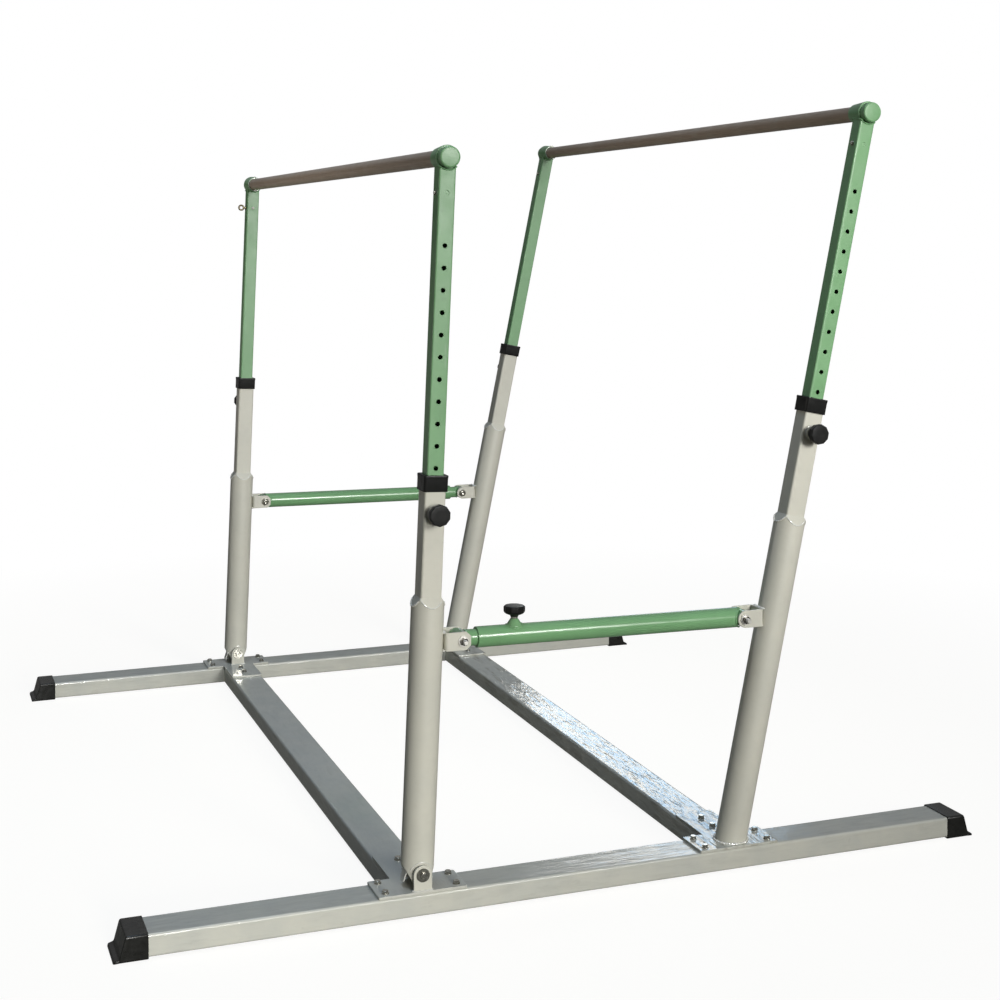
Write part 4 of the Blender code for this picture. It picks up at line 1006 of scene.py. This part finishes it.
def bar(name):
    # a straight tube from sleeve to sleeve
    post, b = posts[name], barShape
    origin, axes = postSpot(post, 1)
    centre = origin + axes[2] * barHeight(post)
    centre[1] = 0
    y = np.linspace(-b["half"], b["half"], 60)
    profile = np.concatenate([pointsOf(b["radius"], y), pointsOf(b["radius"] - b["wall"], y)[::-1]])
    makePiece(name + "_bar", [turned(profile, "brownBar", 64, axis=1, ring=True)], levelSpot(*centre))


sideBoltShape = {"underBar": 80, "from": 10.3, "face": 20.3, "shank": 2.6, "tip": 2.0, "washer": 6.4,
                 "bore": 3.2, "washerThick": 1, "flats": 8.5, "nutTop": 4.3, "screwOut": 5, "eyeOut": 9,
                 "eye": 8.0, "eyeWire": 2.9, "eyeAt": 36.5,
                 "dome": [(0.4, -23.4), (2.8, -22.9), (4.6, -21.6), (4.9, -20.2)]}


def sideBolt(name, label, side):
    # a bolt on the face away from the lane's middle; the left rear one ends in an eye
    post, b = posts[name], sideBoltShape
    at = (0, 0, barHeight(post) - b["underBar"])
    eye = (name, label) == ("left", "rear")
    metal, tip = ("brass", b["face"] + b["eyeOut"]) if eye else ("zinc", b["face"] + b["screwOut"])
    shank, face = b["shank"], b["face"]
    seat = face + b["washerThick"]
    shells = [turned([(shank, b["from"]), (shank, tip - 0.6), (b["tip"], tip)], metal, 24),
              washer(b["washer"], b["bore"], face, seat, metal),
              hexagon(b["flats"], seat, face + b["nutTop"], metal)]
    if eye:
        section = arc(b["eyeWire"], wholeTurn(12))
        shells.append(swept(hoop(b["eye"], 0, b["eyeAt"], 48), section, (0, 1, 0), metal, closed=True))
    shells = [turnedTo(shell, [(0, 0, 1), (0, 1, 0), (-1, 0, 0)], at) for shell in shells]
    if eye:
        # a small domed screw head on the face towards the other upright, pale as a painted highlight
        shells.append(turned(b["dome"], "weldPaint", 32, axis=1, at=at))
    makePiece(name + "_" + label + "_side_bolt", shells, postSpot(post, side))


# a head's outside radius, its back's distance from the post's middle, and its thickness
knobSizes = {"large": (25, 43, 25), "small": (14.5, 46, 12)}
knobShape = {"flats": 10, "neck": 13, "neckFrom": 33.4, "pin": [(3.8, 20.4), (5.0, 21.8), (5.0, 34.0)]}


def knobHead(radius, back, thick, neck, neckFrom):
    # a turned head: tapered underside, straight grip with ten flats, rounded edge and a slightly domed face
    profile = [(neck * 0.97, neckFrom), (neck, neckFrom + 0.6)]
    view = [(neck, -1.5), (neck + 2.5, 0.3), (radius * 0.90, thick * 0.20), (radius, thick * 0.38),
            (radius, thick * 0.88), (radius * 0.93, thick * 0.985), (radius * 0.5, thick), (0.4, thick)]
    view = soften([(r, back + up) for r, up in view], [0.5, 1.2, 2.5, 3, 1.6, 1.2, 0.8, 0.2], 6)
    profile = np.concatenate([profile, view])
    grip = np.clip((profile[:, :1] - radius * 0.72) / (radius * 0.26), 0, 1)

    def flattened(turn):
        # the share by which a flat lies inside the circle, only where the grip is
        flats = knobShape["flats"]
        sector = (turn * flats / (2 * math.pi) % 1 - 0.5) * 2 * math.pi / flats
        return 1 - grip * (1 - math.cos(math.pi / flats) / np.cos(sector))

    return turned(profile, "blackPlastic", 160, axis=1, wave=flattened)


def postKnob(name, label, side):
    # the head on its pin; the right rear knob is a small one, hidden behind its post
    post, k = posts[name], knobShape
    size = "small" if (name, label) == ("right", "rear") else "large"
    at = (0, 0, pinHeight(post, side))
    head = turnedTo(knobHead(*knobSizes[size], k["neck"], k["neckFrom"]), by=at)
    pin = turned(k["pin"], "zinc", 32, axis=1, at=at)
    makePiece(name + "_" + label + "_knob", [head, pin], postSpot(post, side))


crossShape = {"outer": 24, "inner": 19, "wall": 2.5, "stub": 39.5, "engaged": 320, "mouth": 30, "eye": 19.5,
              "eyeHalf": 24, "tightHole": 6.5, "looseHole": 8.8, "clampFromMouth": 94, "bossHeight": 13,
              "weld": 1.9}
clampShape = {"head": 25, "thick": 22, "headUp": 8, "neck": 9.5, "neckUp": 4.5, "nut": 15, "nutLow": 0.5,
              "nutHigh": 5.2, "screw": [(3.6, 19.4), (5, 20.6)], "screwUp": 6, "cone": 19, "coneTop": 8.8,
              "bore": 5.4, "weldRound": 18.2, "weld": 2.0}


def crossTube(radius, eyeAt, pinHole, toEnd, mouth):
    # a tube along the first axis; its pin end follows the eye's round, its other end is cut square
    c = crossShape
    turn = wholeTurn(64)
    toward = 1 if toEnd > eyeAt else -1
    cope = np.sqrt(np.maximum((c["eye"] + 3.0) ** 2 - (radius * np.sin(turn)) ** 2, 6.0 ** 2))
    inside, snug = radius - c["wall"], c["inner"] + 0.4
    rows = [(radius, None), (radius, toEnd - toward * 0.5), (radius - 0.5, toEnd)]
    if mouth:
        stop = toEnd - toward * c["mouth"]
        rows += [(snug, toEnd), (snug, stop), (inside, stop)]
    else:
        rows += [(inside + 0.3, toEnd), (inside, toEnd - toward * 0.5)]
    rows.append((inside, None))
    rings = [pointsOf(eyeAt + toward * cope if x is None else x, r * np.cos(turn), r * np.sin(turn))
             for r, x in rows]
    half, eye = c["eyeHalf"], c["eye"]
    barrel = [(eye - 1.2, -half), (eye, -half + 1.2), (eye, half - 1.2), (eye - 1.2, half),
              (pinHole + 1.0, half), (pinHole, half - 1.0), (pinHole, -half + 1.0), (pinHole + 1.0, -half)]
    across, up = (radius - 0.2) * np.cos(turn), (radius - 0.2) * np.sin(turn)
    weld = pointsOf(eyeAt + toward * (cope - 0.4), across, up)
    return [skin(rings, "crossPaint", loop=True),
            turned(barrel, "crossPaint", 64, axis=1, at=(eyeAt, 0, 0), ring=True),
            bead(weld, c["weld"], pointsOf(0, np.cos(turn), np.sin(turn)), "crossPaint", closed=True)]


def clampBoss(x):
    # a cone on top of the outer tube for the clamp screw, and the weld that follows the tube's round
    c, k = crossShape, clampShape
    top = c["outer"] + c["bossHeight"]
    cone = soften([(k["cone"], 15), (k["cone"], 21.5), (k["coneTop"], top), (k["bore"], top),
                   (k["bore"], 15)], 1.0, 4)
    ring = arc(k["weldRound"], wholeTurn(100))
    run = pointsOf(x + ring[:, 0], ring[:, 1], np.sqrt(c["outer"] ** 2 - ring[:, 1] ** 2) + 0.2)
    return [turned(cone, "crossPaint", 56, at=(x, 0, 0), ring=True),
            bead(run, k["weld"], (0, 0, 1), "crossPaint", closed=True)]


def crossPair(label, side, outerOnRight):
    # the outer tube hangs on one bracket bolt and the inner on the other; the knob is near the mouth
    c, k = crossShape, clampShape
    spot, span = crossSpot(side)
    rightEnd, leftEnd = (0, c["tightHole"]), (span, c["looseHole"])
    outerEnd, innerEnd = (rightEnd, leftEnd) if outerOnRight else (leftEnd, rightEnd)
    far, way = innerEnd[0], -1 if outerOnRight else 1
    outer = crossTube(c["outer"], *outerEnd, far + way * c["stub"], True)
    inner = crossTube(c["inner"], *innerEnd, far + way * (c["stub"] + c["engaged"]), False)
    clampAt = far + way * (c["stub"] + c["clampFromMouth"])
    makePiece(label + "_cross_outer", outer + clampBoss(clampAt), spot, sharp=32)
    makePiece(label + "_cross_inner", inner, spot, sharp=32)
    at, boss = (clampAt, 0, 0), c["outer"] + c["bossHeight"]
    head = knobHead(k["head"], boss + k["headUp"], k["thick"], k["neck"], boss + k["neckUp"])
    nut = hexagon(k["nut"], boss + k["nutLow"], boss + k["nutHigh"], "zinc", at=at, turnBy=0.2)
    screw = turned(k["screw"] + [(k["screw"][-1][0], boss + k["screwUp"])], "zinc", 32, at=at)
    makePiece(label + "_clamp_knob", [turnedTo(head, [(1, 0, 0), (0, 0, 1), (0, -1, 0)], at), nut, screw],
              spot)


for label, side in sides.items():
    boxTube(label + "_rail", floorTube["railHalf"], 0, side * railY, [(0, 1, 0), (0, 0, 1), (1, 0, 0)],
            "railPaint")
    for endName, end in (("left", -1), ("right", 1)):
        railCap(endName + "_" + label + "_rail_cap", end, side)
for name, post in posts.items():
    boxTube(name + "_beam", floorTube["beamHalf"], post["x"], 0, [(1, 0, 0), (0, 0, 1), (0, 1, 0)],
            post["skin"])
print("floor frame laid")

boltX, boltY = plateShape["boltX"], plateShape["boltY"]
for name, post in posts.items():
    for label, side in sides.items():
        node = name + "_" + label
        plate = plateSpot(post, side)
        plateBolts(node + "_bolts_left", [(-boltX, -boltY), (-boltX, boltY)], plate, 0.2)
        plateBolts(node + "_bolts_right", [(boltX, -boltY), (boltX, boltY)], plate, 0.7)
        plateBolts(node + "_bolts_stem", [(0, -y) for y in plateShape["stem"]], plate, 0.5)
        if name == "left":
            leftFoot(node + "_foot", side)
            throughBolt(node + "_hinge_bolt", levelSpot(post["x"], side * railY, post["z"], 1, side),
                        hingeBolt)
        buildPost(name, label, side)
        collar(name, label, side)
        upright(name, label, side)
        sleeveCap(name, label, side)
        sideBolt(name, label, side)
        postKnob(name, label, side)
        throughBolt(node + "_bracket_bolt", bracketSpot(post, side), bracketBolt)
    bar(name)
    print(name, "posts, uprights and bar raised")

crossPair("front", -1, True)
crossPair("rear", 1, False)
print("cross tubes fitted")


def whiteRays(tree, glossShare):
    # one for camera and transmission rays, a share for glossy rays, none for the light on the object
    rays = addNode(tree, "LightPath")
    total = maths(tree, "MULTIPLY", rays.outputs["Is Glossy Ray"], glossShare)
    for word in ("Is Camera Ray", "Is Transmission Ray"):
        total = maths(tree, "MAXIMUM", total, rays.outputs[word])
    return total


def blended(tree, factor, first, second, end):
    # two shaders mixed into the material's or the world's surface
    mix = addNode(tree, "MixShader", {"Fac": factor, 1: first, 2: second})
    tree.links.new(mix.outputs["Shader"], tree.nodes[end].inputs["Surface"])


floorSettings = {"tone": (0.17, 0.16, 0.125), "glow": 0.91, "gloss": 0.10, "fadeFrom": 1.7, "fadeTo": 3.4}


def makeFloor():
    # a wide disc that the camera sees as white paper with the object's soft shadow, fading into white
    f = floorSettings
    steps = 96
    radii = np.concatenate([[0.01], np.linspace(0.5, 6, 12), np.linspace(8, 60, 14)])
    points = ringsAbout(2, np.repeat(radii[:, None], steps, axis=1), 0).reshape(-1, 3)
    mesh = bpy.data.meshes.new("floor")
    mesh.from_pydata(points.tolist(), [], quadRows(len(radii), steps, False).tolist() + [list(range(steps))])
    floor = bpy.data.objects.new("floor", mesh)
    bpy.context.scene.collection.objects.link(floor)
    floor.location = (0, 0, -0.0005)
    material, tree, shader, place = startFinish("paperFloor")
    shader.inputs["Roughness"].default_value = 0.9
    shader.inputs["Specular IOR Level"].default_value = 0.1
    shader.inputs["Base Color"].default_value = (*f["tone"], 1)
    seen = whiteRays(tree, f["gloss"])
    near = addNode(tree, "Emission", {"Strength": maths(tree, "MULTIPLY", seen, f["glow"])})
    paper = addNode(tree, "AddShader", {0: shader.outputs["BSDF"], 1: near.outputs["Emission"]})
    white = addNode(tree, "Emission", {"Strength": 1.0})
    length = addNode(tree, "VectorMath", {0: place}, operation="LENGTH").outputs["Value"]
    far = spread(tree, length, f["fadeFrom"], f["fadeTo"], 0, 1)
    blended(tree, maths(tree, "MULTIPLY", far, seen), paper.outputs["Shader"], white.outputs["Emission"],
            "Material Output")
    mesh.materials.append(material)


worldSettings = {"low": (0.018, 0.017, 0.015), "high": (0.050, 0.055, 0.065), "gloss": 0.40}


def makeWorld():
    # a bluish sky that brightens towards the zenith lights the object; the background itself is white
    world = bpy.data.worlds.new("studio")
    bpy.context.scene.world = world
    world.use_nodes = True
    tree = world.node_tree
    sky = tree.nodes["Background"]
    split = addNode(tree, "SeparateXYZ", {0: addNode(tree, "TexCoord").outputs["Generated"]}).outputs["Z"]
    height = maths(tree, "POWER", spread(tree, split, 0, 1, 0, 1), 2.0, use_clamp=True)
    tree.links.new(mixed(tree, height, worldSettings["low"], worldSettings["high"]), sky.inputs["Color"])
    white = addNode(tree, "Background", {"Color": (1, 1, 1)})
    shine = spread(tree, split, 0.05, 0.40, 0, worldSettings["gloss"])
    blended(tree, whiteRays(tree, shine), sky.outputs["Background"], white.outputs["Background"],
            "World Output")


# soft daylight from the front, a distant softbox low on the left, one for the right posts, a bluish one
# overhead, a warm and a bluish strip behind on the right whose gleam lies along the right beam, and a
# small fill for the bars
lampSettings = {
    "daylight": {"kind": "SUN", "at": (1.3, -6.0, 1.7), "towards": (0, 0, 0), "size": 0.5, "power": 0.8,
                 "tint": (1.0, 0.99, 0.97)},
    "lowSoftbox": {"at": (-0.4, -9.0, 1.2), "towards": (-1.5, 0, -0.65), "size": 1.6, "power": 17.5,
                   "tint": (1.0, 0.99, 0.96), "spread": 32},
    "highSoftbox": {"at": (1.6, -5.6, 2.4), "towards": (0.75, -1.0, 1.45), "size": 1.2, "power": 13.5,
                    "tint": (1.0, 0.99, 0.97), "spread": 44},
    "overhead": {"at": (-0.6, -0.3, 5.5), "towards": (-0.6, -0.31, 0), "size": 2.4, "power": 13.5,
                 "tint": (0.60, 0.77, 1.0), "spread": 70},
    "cloudStrip": {"at": (2.88, 5.0, 2.25), "towards": (0.4, -0.4, 0.05), "size": 1.85, "height": 0.42,
                   "power": 4.0, "tint": (1.0, 0.96, 0.88), "spread": 120, "roll": -41},
    "skyStrip": {"at": (3.16, 5.0, 1.93), "towards": (0.4, -0.4, 0.05), "size": 1.85, "height": 0.42,
                 "power": 4.0, "tint": (0.46, 0.72, 1.0), "spread": 120, "roll": -41},
    "upperFill": {"at": (-3.4, 1.0, 1.3), "towards": (0.2, 0.0, 1.80), "size": 1.2, "power": 4.4,
                  "tint": (1.0, 0.95, 0.88), "spread": 60},
}


def stand(name, data, right, up, back, at):
    # a lamp or camera in the scene; it looks against its back axis
    thing = bpy.data.objects.new(name, data)
    bpy.context.scene.collection.objects.link(thing)
    thing.matrix_world = Matrix(np.column_stack([right, up, back, at]).tolist() + [[0, 0, 0, 1]])
    return thing


def makeLamp(name, settings):
    # looks from its place towards a point; the roll turns it about that line
    light = bpy.data.lights.new(name, settings.get("kind", "AREA"))
    if light.type == "SUN":
        light.angle = settings["size"]
    else:
        light.shape = "RECTANGLE"
        light.size = settings["size"]
        light.size_y = settings.get("height", settings["size"])
        light.spread = math.radians(settings["spread"])
    light.energy = settings["power"]
    light.color = settings["tint"]
    back = np.array(settings["at"], float) - np.array(settings["towards"], float)
    back /= np.linalg.norm(back)
    across = np.cross((0, 0, 1), back)
    across /= np.linalg.norm(across)
    roll = math.radians(settings.get("roll", 0))
    across = across * math.cos(roll) + np.cross(back, across) * math.sin(roll)
    stand(name, light, across, np.cross(back, across), back, settings["at"])


cameraSettings = {"at": (-1.4892, -4.58743, 1.53148), "yaw": 20.02676, "pitch": -2.53421, "roll": -0.18107,
                  "focal": 1656.31757, "centre": (493.54287, 308.09103), "picture": 1000, "sensor": 36}


def makeCamera():
    # stands and looks as the photograph's camera did, worked out from points of the object
    s = cameraSettings
    yaw, pitch, roll = (math.radians(s[k]) for k in ("yaw", "pitch", "roll"))
    ahead = np.array([math.sin(yaw) * math.cos(pitch), math.cos(yaw) * math.cos(pitch), math.sin(pitch)])
    level = np.array([math.cos(yaw), -math.sin(yaw), 0.0])
    over = np.cross(level, ahead)
    right = level * math.cos(roll) + over * math.sin(roll)
    up = over * math.cos(roll) - level * math.sin(roll)
    data = bpy.data.cameras.new("camera")
    data.sensor_width = s["sensor"]
    data.lens = s["focal"] * s["sensor"] / s["picture"]
    data.shift_x = (s["picture"] / 2 - s["centre"][0]) / s["picture"]
    data.shift_y = (s["centre"][1] - s["picture"] / 2) / s["picture"]
    data.clip_end = 200
    bpy.context.scene.camera = stand("camera", data, right, up, -ahead, s["at"])


makeFloor()
makeWorld()
for name, settings in lampSettings.items():
    makeLamp(name, settings)
makeCamera()
bpy.context.scene.view_settings.view_transform = "Standard"
print("room, lamps and camera set")
